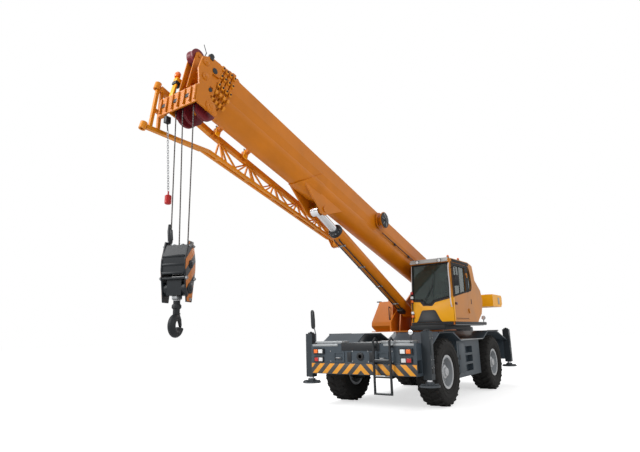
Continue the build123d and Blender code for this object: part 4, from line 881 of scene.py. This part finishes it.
# on the front face z points ahead; on the left face it points inward, so depths there are negative
front_face = cab @ facing((1.04, 0, 0), LEFT, UP)
left_face = cab @ facing((0, 1.45, 0), AHEAD, UP)
windscreen = [(0.385, 2.40), (0.63, 2.38), (0.71, 2.275), (0.88, 2.265), (0.965, 2.35), (1.40, 2.445),
              (1.40, 3.29), (0.432, 3.29)]
rear_window = [(-0.175, 2.625), (-0.345, 2.652), (-0.42, 2.75), (-0.43, 2.85), (-0.375, 3.09),
               (-0.28, 3.27), (-0.145, 3.30), (-0.145, 2.62)]
parts = seals(front_face, [(windscreen, 0.008, 0.035)])
parts += seals(left_face, [
    (rear_window, -0.008, 0.03),
    ([(-0.155, 2.61), (-0.068, 2.60), (-0.068, 3.32), (-0.155, 3.32)], -0.006, 0),
    ([(0.962, 2.45), (1.01, 2.44), (1.01, 3.31), (0.962, 3.31)], -0.005, 0),
    ([(-0.30, 3.306), (0.96, 3.306), (0.96, 3.375), (-0.30, 3.385)], -0.005, 0),
])
gather("window_seals", parts, "superstructure")

# ---------------------------------------------------------------- cab door fittings
# Rubber border and strips round the door's window with its sliding-pane bar, a black handle recess
# with a dark red grip, and a thin moulding below. All are screwed or clipped to the door.
parts = seals(left_face, [
    ([(0.015, 2.597), (0.915, 2.452), (0.915, 3.255), (0.015, 3.255)], -0.008, 0.032),
    ([(-0.055, 2.60), (0.02, 2.59), (0.02, 3.295), (-0.055, 3.295)], -0.006, 0),
    (oblong(0.91, 0.946, 2.44, 3.295), -0.006, 0),
    (oblong(0.02, 0.91, 3.25, 3.295), -0.006, 0),
])
handle_red = enamel("handle_red", (0.16, 0.012, 0.01), roughness=0.35)
parts += [chunk(rubber_seal, (0.47, 1.435, 2.87), (0.02, 0.012, 0.70), cab),
          chunk(black, (0.853, 1.455, 2.284), (0.15, 0.012, 0.06), cab),
          chunk(handle_red, (0.853, 1.468, 2.284), (0.11, 0.018, 0.03), cab),
          chunk(rubber_seal, (0.44, 1.452, 1.93), (0.9, 0.006, 0.012), cab, 0.002)]
gather("door_fittings", parts, "cab_door")

# ---------------------------------------------------------------- cab front
# Bright yellow panel over the cab's front below the windscreen, wrapped round to the door pillar, in the
# cab's yellow where the shell elsewhere is painted tan as painted shade. A black sill band, wiper and black
# grille plate are fixed on it.
front_panel = [(0.352, 1.858), (1.442, 1.858), (1.442, 2.445), (1.40, 2.43), (0.99, 2.335), (0.91, 2.25),
               (0.67, 2.26), (0.6, 2.355), (0.352, 2.365)]
pillar_panel = [(0.962, 1.858), (1.035, 1.858), (1.04, 2.3), (1.04, 2.41), (0.962, 2.438)]
parts = [sheet(yellow, front_panel, 0.004, front_face, bevel=0.001),
         sheet(yellow, pillar_panel, -0.004, left_face, bevel=0.001)]
gather("cab_front_panel", parts, "superstructure")
sill_band = [(0.40, 2.36), (0.6, 2.345), (0.67, 2.25), (0.91, 2.24), (0.99, 2.325), (1.4, 2.41),
             (1.4, 2.44), (0.965, 2.35), (0.88, 2.265), (0.71, 2.275), (0.63, 2.38), (0.4, 2.395)]
grille_plate = [(0.47, 1.852), (1.14, 1.852), (1.10, 1.90), (0.99, 2.12), (0.95, 2.145), (0.66, 2.145),
                (0.62, 2.12), (0.51, 1.90)]
parts = [sheet(black, sill_band, 0.006, front_face),
         rod(black, (1.062, 0.70, 2.33), (1.062, 0.95, 2.75), 0.008, cab),
         rod(black, (1.068, 0.93, 2.45), (1.068, 1.0, 3.05), 0.006, cab),
         turned(black, (1.045, 0.70, 2.33), AHEAD, [(0.03, 0), (0.03, 0.012), (0.02, 0.02)], cab, 16),
         sheet(black, grille_plate, 0.006, front_face @ shifted(0, 0, 0.003))]
gather("cab_front_trim", parts, "superstructure")

# ---------------------------------------------------------------- cab rails
# A bent white grab rail up the cab's front left corner, a white strip along the windscreen's other
# edge, and a small black vent at the cab's rear left.
white = enamel("rail_white", (0.7, 0.7, 0.7), shade=0.94, roughness=0.35)
rail = [(1.06, 1.41, 2.20), (1.10, 1.41, 2.28), (1.10, 1.41, 2.7), (1.10, 1.41, 3.2), (1.06, 1.41, 3.26)]
edge_strip = [(0.372, 2.42), (0.382, 2.42), (0.425, 3.27), (0.415, 3.27)]
parts = [bent(white, rail, 0.014, cab),
         sheet(white, edge_strip, 0.01, front_face),
         chunk(black, (-0.31, 1.452, 2.37), (0.035, 0.008, 0.13), cab, 0.003)]
gather("cab_grab_rails", parts, "superstructure")

# ---------------------------------------------------------------- cab roof
# Light grey visor across the roof's front edge, black roof hatch and rear cover, two amber lamps and
# two round work lamps. Each is bolted through the roof sheet.
roof_grey = enamel("roof_grey", (0.55, 0.56, 0.55), roughness=0.5)
visor = [(1.0, 3.338), (1.118, 3.303), (1.126, 3.335), (1.08, 3.405), (0.95, 3.4)]
hatch = [(-0.25, 3.398), (-0.25, 3.425), (0.3, 3.415), (0.3, 3.395)]
rear_cover = [(-0.58, 3.352), (-0.27, 3.402), (-0.27, 3.425), (-0.58, 3.37)]
parts = []
# roof piece: paint, outline seen from the side, right-hand edge, width
for paint, outline, y, width in (
    (roof_grey, visor, 0.417, 0.99),
    (black, hatch, 0.47, 0.9),
    (black, rear_cover, 0.45, 0.96),
):
    parts.append(sheet(paint, outline, -width, cab @ facing((0, y, 0), AHEAD, UP)))
amber_rings = [(0.024, 0), (0.03, 0.01), (0.027, 0.035), (0.015, 0.05)]
for x, y in ((0.93, 1.36), (0.25, 1.38)):
    parts.append(chunk(black, (x, y, 3.42), (0.06, 0.06, 0.025), cab))
    parts.append(turned(amber_lens, (x, y, 3.43), UP, amber_rings, cab, 20))
lamp_aim = (1, 0, -0.2)
bowl_rings = [(0.03, 0), (0.05, 0.03), (0.052, 0.08), (0.048, 0.08)]
front_rings = [(0.048, 0), (0.04, 0.012), (0.02, 0.018)]
for y in (0.62, 1.2):
    parts.append(turned(black, (1.06, y, 3.36), lamp_aim, bowl_rings, cab, 20))
    parts.append(turned(clear_lens, (1.13, y, 3.345), lamp_aim, front_rings, cab, 20))
gather("cab_roof", parts, "superstructure")

# ---------------------------------------------------------------- signal lamps
# Stack of coloured lamps in black cups on a thin post beside the cab's inner front corner, which
# shows the load's state. Moulded lenses, screwed to the post.
red_lens = enamel("red_lens", (0.5, 0.008, 0.006), shade=0.9, roughness=0.15, bump=0.01, coat=0.8)
post_x, post_y = -1.12, 0.39
cup_rings = [(0.034, 0), (0.036, 0.004), (0.036, 0.012)]
signal_rings = [(0.034, 0), (0.036, 0.006), (0.036, 0.05), (0.03, 0.062)]
parts = [rod(black, (post_x, post_y, 1.86), (post_x, post_y, 2.62), 0.012)]
for z, lens in ((2.55, red_lens), (2.44, clear_lens), (2.34, amber_lens), (2.06, clear_lens),
                (1.97, amber_lens)):
    parts.append(turned(black, (post_x, post_y, z - 0.012), UP, cup_rings, sides=20))
    parts.append(turned(lens, (post_x, post_y, z), UP, signal_rings, sides=20))
gather("signal_lamps", parts, "superstructure")

# ---------------------------------------------------------------- cab mirror
# Rear-view mirror at the cab's front left corner: a bent black arm, a black housing and bright
# glass that faces rearward.
mirror_y, mirror_z = 1.58, 2.82
arm = [(1.02, 1.44, 3.15), (1.08, 1.55, 3.15), (1.09, mirror_y, 3.02), (1.09, mirror_y, 2.9)]
parts = [bent(black, arm, 0.01, cab),
         chunk(black, (1.09, mirror_y, mirror_z), (0.03, 0.12, 0.26), cab, 0.01),
         chunk(chrome, (1.073, mirror_y, mirror_z), (0.006, 0.1, 0.23), cab, 0.002)]
gather("cab_mirror", parts, "superstructure")

# ---------------------------------------------------------------- cab controls
# What shows through the glass: moulded armrests with a lever on each, a screen on a stalk, and the
# seat's padded headrest.
knob_rings = [(0.015, 0), (0.028, 0.02), (0.026, 0.06), (0.012, 0.075)]
parts = []
for y in (0.62, 1.14):
    parts.append(chunk(plastic, (-0.16, y, 2.42), (0.4, 0.09, 0.1), cab))
    parts.append(rod(black, (0, y, 2.46), (0.02, y, 2.6), 0.012, cab))
    parts.append(turned(black, (0.02, y, 2.59), UP, knob_rings, cab, 16))
parts += [chunk(black, (0.72, 1.2, 2.56), (0.04, 0.24, 0.18), cab),
          rod(black, (0.76, 1.2, 2.36), (0.73, 1.2, 2.48), 0.015, cab),
          chunk(fabric, (-0.52, 0.88, 3.03), (0.09, 0.26, 0.16), cab, 0.03)]
gather("cab_controls", parts, "superstructure")


# ---------------------------------------------------------------- carrier
# Welded steel carrier, sprayed dark blue-grey, with outrigger beams painted a darker grey as painted shade,
# plain grey jacks, black axles and ladder, a machined slewing ring and raised-bar tread plate on the decks.
def checker_plate(name, colour):
    """Raised-bar tread plate: short bars that alternate in direction over a grid."""
    plate = enamel(name, colour, roughness=0.35, coat=0)
    nodes, links = plate.node_tree.nodes, plate.node_tree.links
    shader = nodes["Principled BSDF"]
    shader.inputs["Metallic"].default_value = 0.35
    place = nodes.new("ShaderNodeTexCoord")
    height = None
    for angle in (45, -45):
        turn = nodes.new("ShaderNodeMapping")
        turn.inputs["Rotation"].default_value = (0, 0, math.radians(angle))
        turn.inputs["Scale"].default_value = (16, 42, 16)
        links.new(place.outputs["Object"], turn.inputs["Vector"])
        bars = nodes.new("ShaderNodeTexVoronoi")
        bars.inputs["Randomness"].default_value = 0
        bars.inputs["Scale"].default_value = 1
        links.new(turn.outputs["Vector"], bars.inputs["Vector"])
        raised = nodes.new("ShaderNodeMapRange")
        raised.inputs["From Min"].default_value = 0.42
        raised.inputs["From Max"].default_value = 0.3
        links.new(bars.outputs["Distance"], raised.inputs["Value"])
        if height is None:
            height = raised.outputs["Result"]
        else:
            both = nodes.new("ShaderNodeMath")
            both.operation = "MAXIMUM"
            links.new(height, both.inputs[0])
            links.new(raised.outputs["Result"], both.inputs[1])
            height = both.outputs[0]
    relief = nodes.new("ShaderNodeBump")
    relief.inputs["Strength"].default_value = 0.6
    relief.inputs["Distance"].default_value = 0.006
    links.new(height, relief.inputs["Height"])
    links.new(relief.outputs["Normal"], shader.inputs["Normal"])
    return plate


corners = ("front_left", "front_right", "rear_left", "rear_right")
grey = enamel("carrier_grey", (0.055, 0.072, 0.088), roughness=0.45)
finish_nodes(grey, "carrier_grey", "carrier_frame", "outrigger_box_front", "outrigger_box_rear",
             "cabinet_left", "cabinet_right", "fenders", "engine_hood")
# The beams' grey is darker than the carrier's as painted shade.
beam_grey_painted_shade = enamel("beam_grey_painted_shade", (0.028, 0.036, 0.043), roughness=0.5)
finish_nodes(beam_grey_painted_shade, "carrier_grey", *[f"outrigger_beam_{c}" for c in corners])
finish_nodes(black, "dark_steel", "ladder_front", "axle_front", "axle_rear",
             *[f"knuckle_{c}" for c in corners])
machined = enamel("machined_ring", (0.12, 0.12, 0.12), roughness=0.4, grain=200)
finish_nodes(machined, "dark_steel", "slew_ring")
engine_grey = enamel("engine_grey", (0.06, 0.062, 0.065), roughness=0.6, grain=40, bump=0.3)
finish_nodes(engine_grey, "dark_steel", "engine_block")
jack_grey = enamel("jack_grey", (0.07, 0.08, 0.09), roughness=0.4)
finish_nodes(jack_grey, "dark_steel", *[f"jack_{c}" for c in corners])
tread = checker_plate("tread_plate", (0.36, 0.38, 0.39))
finish_nodes(tread, "tread_plate", "front_deck", "side_decks")

# ---------------------------------------------------------------- hazard bands
# Yellow and black painted bands that slant outward from the middle along the front box's lower
# face, on a thin plate each side.
front_x = 0.892
band_low, band_high, band_end = 0.755, 0.975, 1.316
hazard = stripes("hazard_bands", (0.80, 0.33, 0.01), (0.03, 0.032, 0.035), (0, 1, 1), 0.19, mirrored=True,
                 phase=-0.13)
box_face = facing((front_x, 0, 0), LEFT, UP)
parts = [sheet(hazard, oblong(0, side * band_end, band_low, band_high), 0.006, box_face)
         for side in (-1, 1)]
gather("hazard_bands", parts, "chassis")

# ---------------------------------------------------------------- front deck edge
# Tread plate strips along the front deck's edge, riveted on, with a black step plate and kick plate
# between them above the ladder.
parts = []
for side in (-1, 1):
    parts.append(chunk(tread, (0.70, side * 0.86, 1.43), (0.3, 0.74, 0.06)))
    parts.append(chunk(tread, (0.899, side * 0.93, 1.375), (0.012, 0.7, 0.05)))
parts += [chunk(black, (0.72, 0, 1.408), (0.36, 1.0, 0.016)),
          chunk(black, (0.9, 0, 1.33), (0.016, 0.96, 0.15))]
gather("front_tread_strips", parts, "chassis")

# ---------------------------------------------------------------- lamps
# Black lamp housings on both ends of the carrier, each with two moulded lenses above and a red and
# a white reflector below. Clear and amber lenses ahead, red and amber behind.
finish_nodes(black, "lamp_lens", "lamp_clusters")
lamp_y, lens_z, reflector_z = 1.1, 1.24, 1.06
parts = []
# end of the carrier: where the housings' faces are, which way they look, inner lens
for face_x, out, inner_lens in ((0.937, 1, clear_lens), (-6.143, -1, red_lens)):
    for side in (-1, 1):
        y = side * lamp_y
        lens_x, reflector_x = face_x + out * 0.004, face_x - out * 0.012
        parts.append(chunk(inner_lens, (lens_x, y - side * 0.065, lens_z), (0.02, 0.11, 0.085), bevel=0.008))
        parts.append(chunk(amber_lens, (lens_x, y + side * 0.065, lens_z), (0.02, 0.10, 0.085), bevel=0.008))
        parts.append(chunk(black, (face_x - out * 0.03, y, reflector_z), (0.03, 0.26, 0.13)))
        for lens, across in ((red_lens, 0.06), (white, -0.06)):
            parts.append(chunk(lens, (reflector_x, y + side * across, reflector_z), (0.014, 0.1, 0.08)))
gather("lamp_lenses", parts, "chassis")

# ---------------------------------------------------------------- front box fittings
# A cast tow eye in the middle of the front box, a welded rim round each recess with a steel tie-down
# loop in it, bolt heads and seam strips.
eye_rings = [(0.075, 0), (0.085, 0.006), (0.085, 0.02), (0.07, 0.026), (0.041, 0.026), (0.04, 0)]
box_bolt = [(0.014, 0), (0.014, 0.01), (0.009, 0.013)]
parts = [turned(black, (front_x, 0, 1.13), AHEAD, eye_rings, sides=32)]
for side in (-1, 1):
    recess = facing((front_x, side * 0.55, 1.12), LEFT, UP)
    parts.append(sheet(grey, oblong(-0.14, 0.14, -0.11, 0.11), 0.02, recess, rim=0.03))
    loop = [(0.9, side * 0.49, 1.09), (0.95, side * 0.5, 1.1), (0.96, side * 0.55, 1.1),
            (0.95, side * 0.6, 1.1), (0.9, side * 0.61, 1.09)]
    parts.append(bent(steel, loop, 0.012))
    for y in (0.2, 0.78):
        for z in (1.02, 1.24):
            parts.append(turned(steel, (front_x, side * y, z), AHEAD, box_bolt, sides=6))
    parts.append(chunk(black, (0.9, side * 0.28, 1.12), (0.02, 0.1, 0.2)))
parts.append(chunk(grey, (0.9, 0, 0.99), (0.016, 2.62, 0.02)))
gather("front_box_fittings", parts, "chassis")

# ---------------------------------------------------------------- corner mirror
# Round convex mirror at the deck's front left corner: bright glass in a black moulded housing, on a
# short post with a foot that is bolted down.
post_rings = [(0.03, 0), (0.03, 0.02), (0.012, 0.03), (0.012, 0.16)]
corner_y, corner_z = 1.2, 1.62
parts = [turned(black, (0.84, corner_y, 1.4), UP, post_rings, sides=16),
         turned(black, (0.80, corner_y, corner_z), AHEAD,
                [(0.03, 0), (0.055, 0.02), (0.058, 0.05), (0.055, 0.055)], sides=28),
         turned(chrome, (0.855, corner_y, corner_z), AHEAD, [(0.052, 0), (0.047, 0.006), (0.02, 0.012)],
                sides=28)]
gather("corner_mirrors", parts, "chassis")

# ---------------------------------------------------------------- paddle mirror
# Tall mirror at the front right corner: a rounded black moulded housing with its glass facing
# rearward, on a thin grey stalk bolted to the deck.
housing = [(-0.035, 1.76), (0.03, 1.74), (0.05, 1.80), (0.048, 1.95), (0.03, 2.15), (0, 2.195),
           (-0.045, 2.19), (-0.06, 2.14), (-0.055, 1.95), (-0.05, 1.82)]
pane = [(-0.03, 1.80), (0.03, 1.80), (0.03, 1.95), (0.015, 2.13), (-0.035, 2.13), (-0.04, 1.95)]
stalk_x, stalk_y = 0.832, -1.24
stalk = [(stalk_x, stalk_y, 1.405), (stalk_x, stalk_y, 1.6), (stalk_x, -1.26, 1.72), (0.828, -1.29, 1.79)]
paddle_face = facing((0.80, -1.31, 0), LEFT, UP)
parts = [sheet(black, housing, 0.05, paddle_face, bevel=0.014),
         sheet(chrome, pane, -0.004, paddle_face, bevel=0),
         bent(jack_grey, stalk, 0.013),
         chunk(black, (stalk_x, stalk_y, 1.415), (0.08, 0.08, 0.03))]
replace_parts(gather("mirror_paddle", parts, "chassis"), "mirror_front")

# ---------------------------------------------------------------- fender edges
# Black rubber beads along the outer edge of the four fenders' flat tops, which cover the cut edge of
# the steel. They are pressed on.
flap = enamel("flap_rubber", (0.015, 0.015, 0.016), roughness=0.8, grain=60, bump=0.1, coat=0)
parts = []
for side in (-1, 1):
    for rear_end, front_end in ((-1.12, -0.06), (-4.74, -3.66)):
        parts.append(rod(flap, (rear_end, side * 1.448, 1.613), (front_end, side * 1.448, 1.613), 0.014))
gather("fender_edges", parts, "chassis")

# ---------------------------------------------------------------- cabinet doors
# Pressed grey doors with black latches on the cabinets between the wheels: two hinged ones on the
# right, a single narrow one beside the steps on the left.
parts = []
for x in (-2.75, -1.92):
    parts.append(chunk(grey, (x, -1.326, 0.98), (0.74, 0.014, 0.72), bevel=0.004))
    parts.append(chunk(black, (x + 0.28, -1.336, 1.0), (0.05, 0.014, 0.12)))
    hinge_x = x - 0.375
    for z in (0.72, 1.24):
        parts.append(rod(steel, (hinge_x, -1.336, z - 0.05), (hinge_x, -1.336, z + 0.05), 0.01))
parts += [chunk(grey, (-1.78, 1.326, 0.98), (0.44, 0.014, 0.72), bevel=0.004),
          chunk(black, (-1.62, 1.336, 1.0), (0.05, 0.014, 0.12))]
gather("cabinet_doors", parts, "chassis")

# ---------------------------------------------------------------- engine hood
# Black louvre bars along both sides and the rear of the engine hood, a bent exhaust pipe and a steel
# lifting handle on top.
louvre_z, louvre_h = 1.57, 0.22
parts = []
for side in (-1, 1):
    for index in range(9):
        parts.append(chunk(black, (-5.3 + 0.09 * index, side * 0.432, louvre_z), (0.05, 0.012, louvre_h)))
for index in range(8):
    parts.append(chunk(black, (-5.6, -0.28 + 0.08 * index, louvre_z), (0.012, 0.05, louvre_h)))
exhaust = [(-4.9, 0.25, 1.74), (-4.9, 0.25, 1.83), (-4.86, 0.25, 1.88), (-4.8, 0.25, 1.9)]
parts += [bent(black, exhaust, 0.045),
          chunk(steel, (-4.3, 0.1, 1.746), (0.16, 0.04, 0.012))]
gather("hood_grilles", parts, "chassis")

# ---------------------------------------------------------------- ladder treads
# Strips of raised-bar tread plate on the front ladder's three rungs, against slipping. They are
# screwed on from above.
parts = [chunk(tread, (1.002, 0.585, z), (0.045, 0.33, 0.012)) for z in (0.405, 0.74, 1.075)]
gather("ladder_treads", parts, "chassis")

# ---------------------------------------------------------------- outriggers
# Cover plates, a top cap and bolts on each beam's jack housing, in the beams' darker grey, which is painted
# shade, and black. The jack's rod has a chromed wiper ring, and its cast float has eight ribs.
cap_rings = [(0.07, 0), (0.075, 0.01), (0.07, 0.03), (0.03, 0.034), (0.025, 0.05)]
wiper_rings = [(0.0555, 0), (0.0558, 0.005), (0.0558, 0.03), (0.0555, 0.034)]
housing_bolt = [(0.012, 0), (0.012, 0.01), (0.008, 0.013)]
jack_y, rib_reach = 1.419, 0.145
for corner in corners:
    low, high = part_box(f"outrigger_beam_{corner}")
    x = (low[0] + high[0]) / 2
    side = 1 if "left" in corner else -1
    y = side * jack_y
    parts = [chunk(beam_grey_painted_shade, (x, y + side * 0.093, 1.30), (0.13, 0.012, 0.3), bevel=0.004),
             turned(black, (x, y, 1.638), UP, cap_rings),
             chunk(black, (x, y + side * 0.092, 0.86), (0.1, 0.012, 0.16))]
    for z in (0.9, 1.06, 1.5):
        for along in (0.055, -0.055):
            parts.append(turned(steel, (x + along, y + side * 0.09, z), (0, side, 0), housing_bolt, sides=6))
    gather(f"beam_end_{corner}", parts, f"beam_{corner}")
    parts = [turned(chrome, (x, y, 0.622), UP, wiper_rings, sides=32)]
    for angle in range(0, 360, 45):
        outward = rib_reach * Vector((math.cos(math.radians(angle)), math.sin(math.radians(angle)), 0))
        rib_place = Vector((x, y, 0.567)) + outward
        parts.append(chunk(jack_grey, rib_place, (0.1, 0.012, 0.025), turn=(0, 0, angle)))
    gather(f"float_{corner}", parts, f"jack_{corner}")


# ---------------------------------------------------------------- tyres
# Moulded black rubber, mottled by wear: a rounded carcass with raised sidewall rings and two rows
# of slanting lugs that run down over the shoulders. One tyre is made about the origin and copied.
def hoop(material, place, axis, rings, sides=72):
    """A ring with a hole: its section is drawn out ring by ring and closed on itself."""
    part = drawn_out("NOTHING", rings + rings[:1], sides)
    bpy.ops.mesh.select_all(action="SELECT")
    bpy.ops.mesh.remove_doubles(threshold=0.0003)
    return stood(part, material, place, axis, Matrix())


rubber = enamel("tyre_rubber", (0.022, 0.021, 0.02), shade=0.7, roughness=0.85, grain=70, bump=0.15, coat=0)
finish_nodes(rubber, "tyre_rubber", *[f"tyre_{c}" for c in corners])
half = [(0.352, 0.195), (0.375, 0.215), (0.43, 0.243), (0.52, 0.262), (0.60, 0.264), (0.66, 0.256),
        (0.695, 0.232), (0.704, 0.19), (0.708, 0.06)]
section = half + [(radius, -rise) for radius, rise in reversed(half)]
lug_count = 24
parts = [hoop(rubber, (0, 0, 0), LEFT, section, sides=96)]
for way in (-1, 1):
    # sidewall ring: radius, distance from the tyre's middle
    for radius, rise in ((0.40, 0.226), (0.46, 0.246), (0.575, 0.258)):
        bead = [(radius - 0.008, 0), (radius - 0.005, 0.011), (radius + 0.005, 0.011), (radius + 0.008, 0)]
        parts.append(hoop(rubber, (0, way * rise, 0), (0, way, 0), bead, sides=96))
    lug = chunk(rubber, (0, way * 0.118, 0.712), (0.062, 0.215, 0.05), bevel=0.008, turn=(0, 0, way * 28))
    shoulder = chunk(rubber, (0.045, way * 0.225, 0.668), (0.06, 0.07, 0.065), bevel=0.012,
                     turn=(way * -38, 0, way * 10))
    for index in range(lug_count):
        spin = Matrix.Rotation(math.radians(360 / lug_count * (index + way / 4)), 4, "Y")
        parts.append(again(lug, spin))
        parts.append(again(shoulder, spin))
    bpy.data.objects.remove(lug)
    bpy.data.objects.remove(shoulder)
pattern = parts[0]
clear_selection()
for part in parts:
    part.select_set(True)
bpy.context.view_layer.objects.active = pattern
bpy.ops.object.join()
axle_z = 0.74
hubs = {}
for corner in corners:
    low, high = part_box(f"tyre_{corner}")
    hubs[corner] = Vector(((low[0] + high[0]) / 2, (low[1] + high[1]) / 2, axle_z))
    tyre = gather(f"tyre_{corner}_rubber", [again(pattern, Matrix.Translation(hubs[corner]))],
                  f"wheel_{corner}", 40)
    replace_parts(tyre, f"tyre_{corner}")
bpy.data.objects.remove(pattern)

# ---------------------------------------------------------------- rims and hubs
# Pressed steel rims in silver grey with a lighter dish and rolled edge, a stepped planetary hub,
# twelve plated wheel nuts on long studs and a black valve.
silver = enamel("rim_silver", (0.36, 0.38, 0.40), roughness=0.42)
finish_nodes(silver, "rim_silver", *[f"rim_{c}" for c in corners])
dish = enamel("rim_dish", (0.50, 0.51, 0.52), shade=0.85, roughness=0.35)
rolled_edge = [(0.362, 0.001), (0.366, 0.006), (0.345, 0.010), (0.325, 0.002), (0.318, -0.01), (0.34, -0.012)]
hub_rings = [(0.29, 0), (0.285, 0.012), (0.235, 0.02), (0.225, 0.03), (0.155, 0.034), (0.15, 0.08),
             (0.14, 0.095), (0.10, 0.10), (0.095, 0.135), (0.085, 0.145), (0.04, 0.147), (0.035, 0.155),
             (0.02, 0.157)]
wheel_nut = [(0.017, 0), (0.017, 0.022), (0.011, 0.026), (0.009, 0.04), (0.006, 0.042)]
dish_depth, nut_circle = 0.15, 0.19
for corner in corners:
    side = 1 if "left" in corner else -1
    low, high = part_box(f"rim_{corner}")
    rim_face = high[1] if side > 0 else low[1]
    depth = rim_face - side * dish_depth
    x = hubs[corner].x
    outward = (0, side, 0)
    parts = [hoop(dish, (x, rim_face, axle_z), outward, rolled_edge),
             turned(dish, (x, depth, axle_z), outward, hub_rings, sides=48)]
    for index in range(12):
        around = math.radians(30 * index)
        across, upward = nut_circle * math.cos(around), nut_circle * math.sin(around)
        parts.append(turned(steel, (x + across, depth + side * 0.03, axle_z + upward), outward, wheel_nut,
                            sides=6))
    parts.append(rod(black, (x + 0.26, depth, 0.79), (x + 0.27, depth + side * 0.07, 0.8), 0.008))
    gather(f"hub_{corner}", parts, f"wheel_{corner}")
